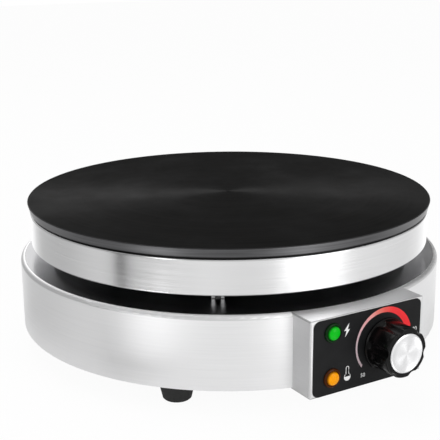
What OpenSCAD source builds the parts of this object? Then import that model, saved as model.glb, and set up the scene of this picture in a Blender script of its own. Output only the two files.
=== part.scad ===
// Electric crepe maker. A cast griddle plate sits on an insulated steel skirt, and
// three brackets hold the skirt above a round base with a thermostat box in front.
// Millimetres, +Z up. The control box faces -Y, and the origin is the middle of the
// whole footprint, on the surface that the feet rest on.

/* [Griddle plate] */
// Diameter of the plate at its top edge
plate_d = 400; // [380:1:430]
// Height of the plate's tapered side
plate_rim_h = 8.3; // [6:0.1:12]
// How far the side leans in from top to bottom
plate_taper = 2; // [0.5:0.1:3]
// Height of the spigot that stands on the skirt
spigot_h = 1.7; // [1:0.1:3]
// How far the spigot is set in from the foot of the side
spigot_inset = 2; // [1:0.1:3]
// Width of the seat ring under the spigot
seat_w = 8; // [5:0.5:12]
// Thickness of the cast web
web_t = 8; // [6:0.1:9]
// Chamfer round the top edge
plate_chamfer = 0.7; // [0.2:0.1:1.5]

/* [Heating] */
// Diameter of the sheathed element tube
element_d = 6.5; // [5:0.1:8]
// Centre radius of the outer element
outer_element_r = 152; // [145:1:160]
// Centre radius of the inner element
inner_element_r = 88; // [80:1:95]
// Distance between the two tails of an element
tail_gap = 20; // [14:1:30]
// Diameter of the insulated tail post at each end of an element
tail_d = 8.4; // [7.5:0.1:10]
// Length of a tail post below the element's middle
tail_l = 12; // [9:0.5:13]
// Radius of the circle of plate studs
stud_circle_r = 120; // [112:1:128]
// Diameter of the plate studs
stud_d = 6; // [5:0.5:8]
// Width of a clamp bar
clamp_w = 22; // [16:1:30]
// Thickness of a clamp bar
clamp_t = 2.5; // [2:0.1:4]
// Diameter of the thermostat bulb
bulb_d = 6; // [4:0.1:8]
// Length of the thermostat bulb
bulb_l = 80; // [60:1:90]
// Diameter of the capillary tube
capillary_d = 2; // [1.2:0.1:3]
// Diameter of a heat-proof lead
lead_d = 3.2; // [2:0.1:4]
// How far from a corner a lead or the capillary starts to bend
lead_bend_r = 9; // [5:0.5:12]
// Diameter of the thermal cut-out
cutout_d = 24; // [18:0.5:28]
// Height of the thermal cut-out
cutout_h = 10; // [6:0.5:12]

/* [Skirt] */
// How far the skirt is set in from the plate's edge
skirt_inset = 2; // [0:0.5:6]
// Height of the skirt
skirt_h = 32; // [30:0.5:45]
// Sheet thickness of the skirt and the pan floor
skirt_t = 1; // [0.6:0.1:1.5]
// Outside bend radius at the skirt's edges
skirt_bend_r = 1.6; // [1.6:0.1:3]
// Width of the skirt's top lip
skirt_lip_w = 11; // [8:0.5:16]
// Width of the skirt's bottom flange
skirt_flange_w = 20; // [14:0.5:28]
// Thickness of the insulation
insulation_t = 8; // [5:0.5:9]
// Height of the reflector's rim
reflector_rim_h = 8; // [4:0.5:12]

/* [Air gap] */
// Clear height between the skirt and the base
gap_h = 13; // [9:0.5:20]
// How far the stand-offs' outer faces are set in from the skirt
stand_off_inset = 31; // [23:1:48]
// Width of a stand-off bracket
stand_off_w = 11.2; // [10:0.2:18]
// Width of the lips turned in at a bracket's front
stand_off_lip_w = 2.9; // [1.6:0.1:4]
// Depth of a stand-off bracket
stand_off_depth = 16; // [13:0.5:24]
// Sheet thickness of a stand-off bracket
stand_off_t = 1.5; // [1:0.1:2]
// Turn of the first stand-off from the control box
stand_off_turn = 34.6; // [25:0.1:40]
// Outer diameter of the wiring conduit
conduit_d = 28; // [24:0.5:36]

/* [Base] */
// Outer diameter of the drum
drum_d = 418.6; // [405:0.1:450]
// Height of the drum
drum_h = 67; // [62:0.5:85]
// Sheet thickness of the drum
drum_t = 1; // [0.6:0.1:1.4]
// Outside bend radius at the drum's top edge
drum_bend_r = 4; // [2.5:0.1:6]
// Width of the seat that carries the drum's top plate
top_seat_w = 9; // [6:0.5:14]
// Width of the drum's bottom flange
bottom_flange_w = 12; // [10:0.5:16]
// Thickness of the base cover
cover_t = 1.2; // [0.8:0.1:1.6]
// How far the base cover is set in from the drum's wall
cover_inset = 3; // [2:0.5:4]
// Number of cooling slots in the outer ring of the cover
vent_count = 24; // [12:1:30]
// Width of a cooling slot
vent_w = 5; // [3:0.5:6]
// Length of a cooling slot
vent_l = 34; // [20:1:40]

/* [Feet] */
// Height of the rubber feet
foot_h = 18.8; // [14:0.1:28]
// Diameter of a foot at its top
foot_top_d = 34; // [26:0.5:36]
// Diameter of a foot at the floor
foot_bottom_d = 25.5; // [20:0.5:26]
// How far the middles of the feet are set in from the drum's wall
foot_inset = 26.3; // [24:0.1:50]

/* [Control box] */
// Width of the control box
box_w = 120; // [114:1:140]
// How far the box's front face stands out of the drum
box_proud = 16.1; // [14:0.1:30]
// How far the box's bottom hangs below the drum's
box_drop = 2; // [0:0.1:4]
// Sheet thickness of the control box
box_t = 1.2; // [0.8:0.1:1.5]
// Outside bend radius of the control box
box_bend_r = 1.6; // [1.6:0.1:3]
// Width of the front label
label_w = 114.4; // [100:0.1:114.6]
// Height of the front label
label_h = 67.4; // [54:0.1:68]
// Thickness of the front label
label_t = 0.5; // [0.3:0.1:1]
// Corner radius of the front label
label_corner_r = 6; // [2:0.5:10]
// How far the pilot lamps' axes are set in from the box's side
lamp_inset = 22; // [16:0.1:28]
// Height of the pilot lamps above and below their middle
lamp_rise = 20.1; // [14:0.1:22]
// Height of the lamps' middle above the knob's axis
lamp_mid_rise = 1; // [0:0.1:3]
// Diameter of a lamp lens at its flange
lens_d = 17; // [12:0.5:18]
// Diameter of the domed middle of a lens
lens_dome_d = 12.2; // [8:0.1:12.6]
// How far a lens stands out of the label
lens_h = 4.6; // [3:0.1:7]
// Diameter of a lamp holder
holder_d = 9; // [7:0.5:11]
// Length of a lamp holder behind the front face
holder_l = 24; // [15:0.5:30]

/* [Thermostat and knob] */
// Sideways distance of the knob from the box's middle
knob_x = 18.1; // [14:0.1:22]
// Outer diameter of the knob's grip
knob_d = 43.8; // [36:0.1:46]
// Diameter of the knob's base skirt
knob_skirt_d = 46; // [42:0.2:50]
// Thickness of the knob's base skirt
knob_skirt_t = 2; // [1.5:0.1:3]
// How far the knob stands out of the label
knob_h = 28.5; // [22:0.1:34]
// Number of scallops round the grip
scallop_count = 6; // [5:1:10]
// Depth of a scallop
scallop_depth = 2.5; // [1:0.1:3.2]
// Radius of a scallop
scallop_r = 6; // [5:0.1:10]
// Diameter of the silver cap
cap_d = 34.6; // [26:0.1:34.8]
// Thickness of the silver cap
cap_t = 1.2; // [0.8:0.1:2]
// Depth of the dish inside the silver cap's rim
cap_dish = 0.3; // [0.1:0.1:0.5]
// Clearance between the turning knob and the label
knob_clearance = 0.5; // [0.3:0.1:1.2]
// Diameter of the thermostat's spindle
spindle_d = 6; // [5:0.1:7]
// Running clearance round the spindle
running_clearance = 0.05; // [0.02:0.01:0.1]
// Width and height of the thermostat's body
thermostat_w = 34; // [28:0.5:38]
// Depth of the thermostat's body
thermostat_depth = 30; // [24:0.5:36]

/* [Terminals and cord entry] */
// Length of the terminal block
block_l = 44; // [36:1:56]
// Width of the terminal block
block_w = 24; // [20:0.5:30]
// Height of the terminal block
block_h = 18; // [14:0.5:24]
// How far the terminal block's middle is set in from the drum's wall
block_inset = 69.3; // [60:0.1:99]
// Bore of the cable gland
gland_bore_d = 8; // [6:0.1:9]
// Thread diameter of the cable gland
gland_thread_d = 16; // [14:0.5:20]
// Width of the gland's hexagon and locknut across its corners
gland_hex_d = 25; // [22:0.5:28]
// Height of the cable gland's axis above the floor
gland_z = 48; // [42:0.5:62]

/* [Hidden] */

$fn = 96;
fit = 0.05;          // radial room round a screw in its own thread or seat
slip = 0.3;          // room between two pieces that only pass each other
hole_room = 0.3;     // radial room round a screw in sheet metal
over = 1;            // how far a cutting tool runs past the face that it opens

// Heights, from the floor up
cover_z = foot_h;
drum_z = cover_z + cover_t;
drum_top_z = drum_z + drum_h;
skirt_z = drum_top_z + gap_h;
floor_z = skirt_z + skirt_t;
skirt_top_z = skirt_z + skirt_h;
plate_top_z = skirt_top_z + spigot_h + plate_rim_h;
web_z = plate_top_z - web_t;

// Radii, from the outside in
plate_r = plate_d / 2;
spigot_r = plate_r - plate_taper - spigot_inset;
skirt_r = plate_r - skirt_inset;
pan_r = skirt_r - skirt_lip_w - slip;
drum_r = drum_d / 2;
drum_top_r = drum_r - drum_bend_r;
cover_r = drum_r - cover_inset;

// Inside the pan
element_z = web_z - 1;
tail_cap_h = element_d / 2 + 0.3;
tail_pin_l = 3;
tail_pin_d = 3;
tail_end_z = element_z - tail_l - tail_pin_l;
function tail_turn(ring_r) = tail_gap / 2 / ring_r * 180 / PI;
groove_r = element_d / 2 + fit;
clamp_z = element_z - element_d / 2 - fit;
insulation_z = floor_z + skirt_t + slip;
insulation_r = pan_r - 6;
reflector_z = insulation_z + insulation_t + slip;
reflector_t = 0.8;
reflector_r = insulation_r - 2;
boss_r = 9;
ring_rib_h = 3;
ring_rib_w = 5;
stud_grip = 5.5;
bulb_y = -36;
bulb_z = web_z - 1.5;
bulb_end_x = -24;
cutout_y = 36;
cutout_pad_h = 2;
cutout_z = web_z - cutout_pad_h;
ear_screw_x = cutout_d / 2 + 5;
ear_t = 1.2;
m4 = 4;
strap_r = bulb_d / 2 + fit + 1;
strap_x = bulb_end_x + bulb_l / 2;
strap_ear_l = 9;
plate_screw_places = concat(
    [for (x = [-1, 1]) [x * ear_screw_x, cutout_y, cutout_z - ear_t]],
    [for (y = [-1, 1]) [strap_x, bulb_y + y * (strap_r + strap_ear_l / 2), web_z - 1]]
);

// Fasteners: a nut or head is this wide across its corners and this high
stud_nut_d = 11.5;
stud_nut_h = 5;
m5 = 5;
m5_nut_d = 9.2;
m5_nut_h = 4;
m5_head_d = 9;
m5_head_h = 2.8;
small_head_d = 7.5;
small_head_h = 2.2;
m4_nut_d = 8.1;
m4_nut_h = 3.2;

// Turned positions, as angles round the axis; the control box is at -90
stand_off_angles = [for (i = [0:2]) -90 - stand_off_turn + 120 * i];
stud_angles = [for (a = stand_off_angles) a + 60];
stand_off_mid_r = skirt_r - stand_off_inset - stand_off_depth / 2;
stand_off_head_d = min(small_head_d, stand_off_w - 2 * stand_off_t - 2 * hole_room);
cover_screw_angles = [for (i = [0:3]) 90 * i];
cover_screw_r = drum_r - drum_t - bottom_flange_w / 2;
vent_ring_r = 90;
foot_angles = [-135.8, -44.2, 135.8, 44.2];
foot_screw_grip = 6;
foot_recess_d = 12;
foot_circle_r = drum_r - foot_inset;

// The front of the box, and the middle of the whole footprint
gland_hex_l = 6;
gland_dome_l = 14;
box_reach = drum_r + box_proud;
front_reach = box_reach + label_t + knob_h;
rear_reach = drum_r + gland_hex_l + gland_dome_l;
axis_y = (front_reach - rear_reach) / 2;
front_y = -box_reach;
label_y = front_y - label_t;
box_z = drum_z - box_drop;
box_h = drum_h + box_drop;
knob_z = box_z + box_h / 2;
lamp_x = box_w / 2 - lamp_inset;
lamp_places = [for (rise = [-1, 1]) knob_z + lamp_mid_rise + rise * lamp_rise];
behind_y = front_y + box_t;

// Thermostat parts along the spindle
bush_d = 10;
bush_nut_d = 14;
bush_nut_h = 2.5;
bush_l = label_t + box_t + bush_nut_h + 1;
bush_y = behind_y - bush_l;
spindle_flat = 1.5;
cap_y = label_y - knob_h;
grip_front_y = cap_y + cap_t;
hub_d = 13;
hub_front_y = grip_front_y + 3;
spindle_tip_y = hub_front_y + 0.6;
spindle_back_y = behind_y + 12;
skirt_back_y = label_y - knob_clearance;
hub_back_y = label_y - bush_nut_h - 2;
hub_l = hub_back_y - hub_front_y;
clip_t = 0.4;
scallop_turn = 51;
pointer_turn = scallop_turn + 180;
tab_l = 8;
tab_w = 6.3;
tab_t = 0.8;
tab_x = 9;
thermostat_back_y = behind_y + thermostat_depth;

// Terminal block and gland
pole_pitch = block_l / 4;
block_y = drum_r - block_inset;
block_z = drum_z;
block_top_z = block_z + block_h;
wire_hole_d = 5;
block_screw_d = 4;
block_screw_x = block_l / 2 - 3.5;
gland_tail_l = 10;

// Where each lead and the capillary go down the conduit: left then right
lead_drops = [[[-3, -8], [9.5, -2]], [[-8, 2], [6, 8]]];
lead_spread = [18, 8];
lead_inset = 25;
lead_turn_y = -50;
lead_approach = 30;
capillary_drop = [2, -2];
conduit_wall = 1.2;
conduit_flange_t = 1.5;
conduit_flange_w = 5;
conduit_tail = 10;
conduit_nut_h = 5;
reflector_bore_d = conduit_d + 8;

// The whole model is drawn round the drum's axis and then set on its footprint
module on_axis() translate([0, axis_y, 0]) children();

// Copies children to each angle round the axis
module at_angles(angles) for (a = angles) rotate([0, 0, a]) children();

// A rectangle with round corners, centred
module round_rect(w, h, r) {
    square([w - 2 * r, h], center = true);
    square([w, h - 2 * r], center = true);
    for (x = [-1, 1], y = [-1, 1]) translate([x * (w / 2 - r), y * (h / 2 - r)]) circle(r);
}

// A box with every edge rounded, made by crossing three extruded outlines
module round_box(size, r) {
    intersection() {
        linear_extrude(size.z, center = true) round_rect(size.x, size.y, r);
        rotate([90, 0, 0]) linear_extrude(size.y, center = true) round_rect(size.x, size.z, r);
        rotate([90, 0, 90]) linear_extrude(size.x, center = true) round_rect(size.y, size.z, r);
    }
}

// A slot with round ends, along X
module slot(l, w) {
    square([l - w, w], center = true);
    for (x = [-1, 1]) translate([x * (l - w) / 2, 0]) circle(d = w);
}

// A hexagon nut or head, standing on z = 0
module hex(across, h) cylinder(h = h, d = across, $fn = 6);

module hex_nut(across, h, bore) {
    difference() {
        hex(across, h);
        translate([0, 0, -over]) cylinder(h = h + 2 * over, d = bore);
    }
}

// A screw with its head's seat at z = 0, the thread going up
module screw(d, l, head_d, head_h) {
    cylinder(h = l, d = d);
    difference() {
        translate([0, 0, -head_h]) cylinder(h = head_h, d1 = head_d * 0.8, d2 = head_d);
        for (a = [0, 90]) rotate([0, 0, a])
            translate([-head_d * 0.3, -0.5, -head_h - over])
                cube([head_d * 0.6, 1, over + head_h * 0.45]);
    }
}

// Turns a shape drawn along +Z so that it points out of the front face
module facing_front(x, y, z) translate([x, y, z]) rotate([90, 0, 0]) children();

// The curve that rounds the corner c of a route, on the way from a to b
function bend(a, c, b, r) =
    let (
        reach = min(r, norm(a - c) / 2, norm(b - c) / 2),
        p = c + unit(a - c) * reach,
        q = c + unit(b - c) * reach
    )
    [for (t = [0:0.2:1]) (1 - t) * (1 - t) * p + 2 * t * (1 - t) * c + t * t * q];
function bent(route, r) = let (last = len(route) - 1) concat(
    [route[0]], [for (i = [1:last - 1]) each bend(route[i - 1], route[i], route[i + 1], r)], [route[last]]
);
function unit(v) = v / norm(v);
function heading(p, i) = unit(p[min(i + 1, len(p) - 1)] - p[max(i - 1, 0)]);
// Each ring's sideways direction is the last one's, made square to the new heading
function sideways(p, i, n) =
    i == len(p) ? []
    : let (h = heading(p, i), m = unit(n - (n * h) * h)) concat([m], sideways(p, i + 1, m));

// A tube swept along a route whose corners are rounded, with flat ends
module swept_tube(route, d, first_side, sides = 8) {
    p = bent(route, lead_bend_r);
    s = sideways(p, 0, first_side);
    points = [
        for (i = [0:len(p) - 1]) let (t = cross(heading(p, i), s[i]))
            for (k = [0:sides - 1])
                let (turn = 360 * k / sides) p[i] + d / 2 * (cos(turn) * s[i] + sin(turn) * t)
    ];
    walls = [
        for (i = [0:len(p) - 2], k = [0:sides - 1])
            let (a = i * sides + k, b = i * sides + (k + 1) % sides) [a, a + sides, b + sides, b]
    ];
    last = (len(p) - 1) * sides;
    ends = [[for (k = [0:sides - 1]) k], [for (k = [sides - 1:-1:0]) last + k]];
    polyhedron(points, concat(walls, ends));
}

// ---- Griddle and heating ----

module griddle_plate() {
    color([0.1, 0.1, 0.1]) on_axis() difference() {
        union() {
            rotate_extrude() polygon([
                [0, plate_top_z], [plate_r - plate_chamfer, plate_top_z],
                [plate_r, plate_top_z - plate_chamfer],
                [plate_r - plate_taper, skirt_top_z + spigot_h],
                [spigot_r, skirt_top_z + spigot_h], [spigot_r, skirt_top_z],
                [spigot_r - seat_w, skirt_top_z], [spigot_r - seat_w - 2, web_z], [0, web_z]
            ]);
            translate([0, 0, web_z - ring_rib_h]) rotate_extrude()
                translate([stud_circle_r - ring_rib_w / 2, 0]) square([ring_rib_w, ring_rib_h + over]);
            at_angles(stud_angles) translate([stud_circle_r, 0, clamp_z + slip])
                cylinder(h = web_z - clamp_z, r = boss_r);
            translate([0, cutout_y, cutout_z]) cylinder(h = cutout_pad_h + over, d = 2 * ear_screw_x + 10);
        }
        translate([0, 0, element_z]) for (r = [outer_element_r, inner_element_r])
            rotate_extrude() translate([r, 0]) circle(groove_r);
        for (r = [outer_element_r, inner_element_r]) at_angles([-90 - tail_turn(r), -90 + tail_turn(r)])
            translate([r, 0, web_z - over])
                cylinder(h = over + element_z + tail_cap_h + fit - web_z, d = tail_d + slip);
        translate([bulb_end_x - 2, bulb_y, bulb_z]) rotate([0, 90, 0])
            cylinder(h = bulb_l + 4, d = bulb_d + 2 * fit);
        at_angles(stud_angles) translate([stud_circle_r, 0, 0])
            cylinder(h = web_z + stud_grip, d = stud_d + 2 * fit);
        for (p = plate_screw_places) translate([p.x, p.y, 0]) cylinder(h = web_z + 3, d = m4 + 2 * fit);
    }
}

// One sheathed element: an open ring whose two ends run into insulated posts
module sheathed_element(ring_r) {
    end_turn = tail_turn(ring_r);
    translate([0, 0, element_z]) {
        rotate([0, 0, -90 + end_turn]) rotate_extrude(angle = 360 - 2 * end_turn)
            translate([ring_r, 0]) circle(d = element_d);
        at_angles([-90 - end_turn, -90 + end_turn]) translate([ring_r, 0, -tail_l]) {
            cylinder(h = tail_l + tail_cap_h, d = tail_d);
            translate([0, 0, -tail_pin_l]) cylinder(h = tail_pin_l, d = tail_pin_d);
        }
    }
}

module heating_element_outer() color([0.35, 0.33, 0.31]) on_axis() sheathed_element(outer_element_r);

module heating_element_inner() color([0.35, 0.33, 0.31]) on_axis() sheathed_element(inner_element_r);

module element_clamps() {
    inner = inner_element_r - element_d;
    outer = outer_element_r + element_d;
    color([0.6, 0.6, 0.6]) on_axis() at_angles(stud_angles) difference() {
        translate([(inner + outer) / 2, 0, clamp_z - clamp_t])
            linear_extrude(clamp_t) round_rect(outer - inner, clamp_w, 4);
        translate([stud_circle_r, 0, clamp_z - clamp_t - over])
            cylinder(h = clamp_t + 2 * over, d = stud_d + 2 * hole_room);
    }
}

module plate_studs() {
    foot = floor_z - stud_nut_h - 2;
    color([0.75, 0.75, 0.72]) on_axis() at_angles(stud_angles)
        translate([stud_circle_r, 0, foot]) cylinder(h = web_z + stud_grip - fit - foot, d = stud_d);
}

module clamp_nuts() {
    color([0.75, 0.75, 0.72]) on_axis() at_angles(stud_angles)
        translate([stud_circle_r, 0, clamp_z - clamp_t - stud_nut_h])
            hex_nut(stud_nut_d, stud_nut_h, stud_d + 2 * fit);
}

module stud_nuts() {
    color([0.75, 0.75, 0.72]) on_axis() at_angles(stud_angles)
        translate([stud_circle_r, 0, floor_z - stud_nut_h])
            hex_nut(stud_nut_d, stud_nut_h, stud_d + 2 * fit);
}

module thermostat_bulb() {
    color([0.8, 0.55, 0.4]) on_axis() translate([bulb_end_x, bulb_y, bulb_z]) rotate([0, 90, 0])
        cylinder(h = bulb_l, d = bulb_d);
}

// A strap over the bulb with an ear on each side that lies against the plate
module bulb_clip() {
    strap_w = 10;
    color([0.7, 0.7, 0.7]) on_axis() difference() {
        translate([strap_x, bulb_y, bulb_z]) rotate([90, 0, 90]) linear_extrude(strap_w, center = true)
            difference() {
                union() {
                    circle(strap_r);
                    translate([-strap_r, 0]) square([2 * strap_r, web_z - bulb_z]);
                    translate([-strap_r - strap_ear_l, web_z - bulb_z - 1])
                        square([2 * (strap_r + strap_ear_l), 1]);
                }
                circle(strap_r - 1);
                translate([-strap_r + 1, 0]) square([2 * strap_r - 2, strap_r]);
                translate([-strap_r, web_z - bulb_z]) square([2 * strap_r, strap_r]);
            }
        for (y = [-1, 1]) translate([strap_x, bulb_y + y * (strap_r + strap_ear_l / 2), web_z - 2 * over])
            cylinder(h = 3 * over, d = m4 + 2 * hole_room);
    }
}

module capillary_tube() {
    top_z = tail_end_z + 3;
    turn_x = bulb_end_x - 14;
    color([0.8, 0.55, 0.4]) on_axis() swept_tube([
        [bulb_end_x, bulb_y, bulb_z], [turn_x, bulb_y, bulb_z], [turn_x, bulb_y, top_z],
        [turn_x, capillary_drop.y, top_z], [capillary_drop.x, capillary_drop.y, top_z],
        [capillary_drop.x, capillary_drop.y, knob_z],
        [knob_x, thermostat_back_y + lead_approach, knob_z], [knob_x, thermostat_back_y, knob_z]
    ], capillary_d, [0, 0, 1]);
}

module thermal_cutout() {
    color([0.85, 0.82, 0.75]) on_axis() translate([0, cutout_y, cutout_z - cutout_h]) {
        difference() {
            union() {
                cylinder(h = cutout_h, d = cutout_d);
                translate([0, 0, cutout_h - ear_t]) linear_extrude(ear_t)
                    slot(2 * ear_screw_x + 8, 10);
            }
            for (x = [-1, 1]) translate([x * ear_screw_x, 0, -over])
                cylinder(h = cutout_h + 2 * over, d = m4 + 2 * hole_room);
        }
        for (x = [-1, 1]) translate([x * 5 - tab_w / 2, -tab_t / 2, -tab_l]) cube([tab_w, tab_t, tab_l]);
    }
}

// The screws that hold the cut-out and the bulb's strap against the plate
module plate_screws() {
    color([0.75, 0.75, 0.72]) on_axis() for (p = plate_screw_places)
        translate(p) screw(m4, web_z + 2.5 - p.z, small_head_d, small_head_h);
}

// ---- Pan and skirt ----

module heat_reflector() {
    color([0.85, 0.85, 0.83]) on_axis() difference() {
        rotate_extrude() polygon([
            [reflector_bore_d / 2, reflector_z], [reflector_r, reflector_z],
            [reflector_r + 3, reflector_z + reflector_rim_h],
            [reflector_r + 3 - reflector_t, reflector_z + reflector_rim_h],
            [reflector_r - reflector_t, reflector_z + reflector_t],
            [reflector_bore_d / 2, reflector_z + reflector_t]
        ]);
        at_angles(stud_angles) translate([stud_circle_r, 0, reflector_z - over])
            cylinder(h = 4, d = stud_d + 4);
    }
}

module insulation_disc() {
    color([0.9, 0.87, 0.7]) on_axis() difference() {
        translate([0, 0, insulation_z]) cylinder(h = insulation_t, r = insulation_r);
        translate([0, 0, insulation_z - over])
            cylinder(h = insulation_t + 2 * over, d = conduit_d + 2 * conduit_flange_w + 4);
        at_angles(stud_angles) translate([stud_circle_r, 0, insulation_z - over])
            cylinder(h = insulation_t + 2 * over, d = stud_d + 2);
        at_angles(stand_off_angles) translate([stand_off_mid_r, 0, insulation_z - over])
            cylinder(h = insulation_t + 2 * over, d = m4_nut_d + 4);
    }
}

module pan_floor() {
    color([0.5, 0.5, 0.5]) on_axis() difference() {
        translate([0, 0, floor_z]) cylinder(h = skirt_t, r = pan_r);
        translate([0, 0, floor_z - over]) {
            cylinder(h = skirt_t + 2 * over, d = conduit_d + 2 * fit);
            at_angles(stud_angles) translate([stud_circle_r, 0, 0])
                cylinder(h = skirt_t + 2 * over, d = stud_d + 2 * hole_room);
            at_angles(stand_off_angles) translate([stand_off_mid_r, 0, 0])
                cylinder(h = skirt_t + 2 * over, d = m4 + 2 * hole_room);
        }
    }
}

// The skirt is a rolled band with a lip at the top and a flange at the bottom
module upper_skirt() {
    inner_bend = skirt_bend_r - skirt_t;
    color([0.78, 0.78, 0.78]) on_axis() translate([0, 0, skirt_z]) rotate_extrude() difference() {
        union() {
            square([skirt_r - skirt_bend_r, skirt_h]);
            translate([0, skirt_bend_r]) square([skirt_r, skirt_h - 2 * skirt_bend_r]);
            for (z = [skirt_bend_r, skirt_h - skirt_bend_r])
                translate([skirt_r - skirt_bend_r, z]) circle(skirt_bend_r);
        }
        translate([-over, skirt_t]) {
            square([over + skirt_r - skirt_bend_r, skirt_h - 2 * skirt_t]);
            translate([0, inner_bend]) square([over + skirt_r - skirt_t, skirt_h - 2 * skirt_bend_r]);
            for (z = [inner_bend, skirt_h - 2 * skirt_t - inner_bend])
                translate([over + skirt_r - skirt_bend_r, z]) circle(inner_bend);
        }
        translate([-over, -over]) square([over + skirt_r - skirt_flange_w, 2 * over + skirt_t]);
        translate([-over, skirt_h - skirt_t - over])
            square([over + skirt_r - skirt_lip_w, 2 * over + skirt_t]);
    }
}

// ---- Air gap ----

// A folded channel with lips at its front and a flange at each end, between the
// drum's top and the pan floor
module stand_offs() {
    h = floor_z - drum_top_z;
    inner_w = stand_off_w - 2 * stand_off_t;
    mouth_w = stand_off_w - 2 * stand_off_lip_w;
    color([0.8, 0.8, 0.8]) on_axis() at_angles(stand_off_angles)
        translate([stand_off_mid_r, 0, drum_top_z]) difference() {
            translate([-stand_off_depth / 2, -stand_off_w / 2, 0])
                cube([stand_off_depth, stand_off_w, h]);
            translate([-stand_off_depth / 2 + stand_off_t, -inner_w / 2, stand_off_t])
                cube([stand_off_depth - 2 * stand_off_t, inner_w, h - 2 * stand_off_t]);
            translate([stand_off_head_d / 2 + hole_room, -mouth_w / 2, -over])
                cube([stand_off_depth, mouth_w, h + 2 * over]);
            translate([0, 0, -over]) cylinder(h = h + 2 * over, d = m4 + 2 * hole_room);
        }
}

module stand_off_screws() {
    head_h = min(small_head_h, (floor_z - drum_top_z - 2 * stand_off_t - 1) / 2);
    color([0.75, 0.75, 0.72]) on_axis() at_angles(stand_off_angles) {
        translate([stand_off_mid_r, 0, floor_z - stand_off_t])
            screw(m4, stand_off_t + skirt_t + m4_nut_h + 1, stand_off_head_d, head_h);
        translate([stand_off_mid_r, 0, drum_top_z + stand_off_t]) mirror([0, 0, 1])
            screw(m4, stand_off_t + drum_t + m4_nut_h + 1, stand_off_head_d, head_h);
    }
}

module stand_off_nuts() {
    color([0.75, 0.75, 0.72]) on_axis() at_angles(stand_off_angles) for (z = [
        floor_z + skirt_t, drum_top_z - drum_t - m4_nut_h
    ]) translate([stand_off_mid_r, 0, z]) hex_nut(m4_nut_d, m4_nut_h, m4 + 2 * fit);
}

// A tube that brings the leads across the gap, with a flange on the pan floor
module wiring_conduit() {
    top = floor_z + skirt_t;
    bottom = drum_top_z - drum_t - conduit_tail;
    color([0.7, 0.7, 0.7]) on_axis() difference() {
        union() {
            translate([0, 0, bottom]) cylinder(h = top - bottom, d = conduit_d);
            translate([0, 0, top]) cylinder(h = conduit_flange_t, r = conduit_d / 2 + conduit_flange_w);
        }
        translate([0, 0, bottom - over])
            cylinder(h = top - bottom + 2 * over + conduit_flange_t, d = conduit_d - 2 * conduit_wall);
    }
}

module conduit_nut() {
    color([0.75, 0.75, 0.72]) on_axis() translate([0, 0, drum_top_z - drum_t - conduit_nut_h])
        hex_nut(conduit_d + 10, conduit_nut_h, conduit_d + 2 * fit);
}

// Four heat-proof leads from the elements' tails down through the conduit. The two
// on the left go forward to the thermostat, the two on the right to the terminals.
module element_leads() {
    color([0.9, 0.88, 0.8]) on_axis() for (i = [0, 1]) {
        ring_r = [outer_element_r, inner_element_r][i];
        tail_x = ring_r * sin(tail_turn(ring_r));
        tail_y = -ring_r * cos(tail_turn(ring_r));
        lay_z = reflector_z + reflector_t + slip + lead_d * (0.5 + 1.2 * i);
        for (side = [-1, 1]) {
            drop = lead_drops[i][side > 0 ? 1 : 0];
            end = side < 0
                ? [knob_x - tab_x, thermostat_back_y + tab_l, knob_z + tab_x * (1 - 2 * i) + tab_t / 2]
                : [pole_pitch * (1 - 2 * i), block_y - block_w / 2 + 3, block_z + block_h / 2];
            swept_tube([
                [side * tail_x, tail_y, tail_end_z], [side * tail_x, tail_y, lay_z],
                [side * lead_spread[i], tail_y + lead_inset, lay_z],
                [side * lead_spread[i], lead_turn_y, lay_z],
                [drop.x, drop.y, lay_z], [drop.x, drop.y, end.z],
                [end.x, end.y - side * lead_approach, end.z], end
            ], lead_d, [1, 0, 0]);
        }
    }
}

// ---- Base ----

// The disc that closes the drum, let into a seat so that it lies flush
module drum_top() {
    color([0.6, 0.6, 0.6]) on_axis() difference() {
        translate([0, 0, drum_top_z - drum_t]) cylinder(h = drum_t, r = drum_top_r - fit);
        translate([0, 0, drum_top_z - drum_t - over]) {
            cylinder(h = drum_t + 2 * over, d = conduit_d + 2 * fit);
            at_angles(stand_off_angles) translate([stand_off_mid_r, 0, 0])
                cylinder(h = drum_t + 2 * over, d = m4 + 2 * hole_room);
        }
    }
}

// Half section of the drum: bottom flange, wall, bent shoulder and the let-in seat
module drum_section() {
    difference() {
        union() {
            square([drum_r - drum_bend_r, drum_h]);
            square([drum_r, drum_h - drum_bend_r]);
            translate([drum_r - drum_bend_r, drum_h - drum_bend_r]) circle(drum_bend_r);
        }
        translate([-over, drum_t]) {
            square([over + drum_top_r, drum_h]);
            square([over + drum_r - drum_t, drum_h - drum_bend_r - drum_t]);
        }
        translate([drum_r - drum_bend_r, drum_h - drum_bend_r]) circle(drum_bend_r - drum_t);
        translate([-over, -over]) square([over + drum_r - drum_t - bottom_flange_w, 2 * over + drum_t]);
    }
    translate([drum_top_r - top_seat_w, drum_h - 2 * drum_t]) square([top_seat_w + drum_t, drum_t]);
}

// The volume of the control box outside the drum's top plate
module box_space() {
    difference() {
        translate([-box_w / 2, front_y - over, drum_z - over])
            cube([box_w, box_reach, drum_h + 2 * over]);
        translate([0, 0, drum_z - 2 * over]) cylinder(h = drum_h + 4 * over, r = drum_top_r);
    }
}

module drum_shell() {
    color([0.78, 0.78, 0.78]) on_axis() difference() {
        translate([0, 0, drum_z]) rotate_extrude() drum_section();
        box_space();
        translate([0, 0, drum_z - over]) at_angles(cover_screw_angles) translate([cover_screw_r, 0, 0])
            cylinder(h = drum_t + 2 * over, d = m4 + 2 * fit);
        translate([0, 0, gland_z]) rotate([-90, 0, 0])
            cylinder(h = drum_r + over, d = gland_thread_d + 2 * hole_room);
    }
}

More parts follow.
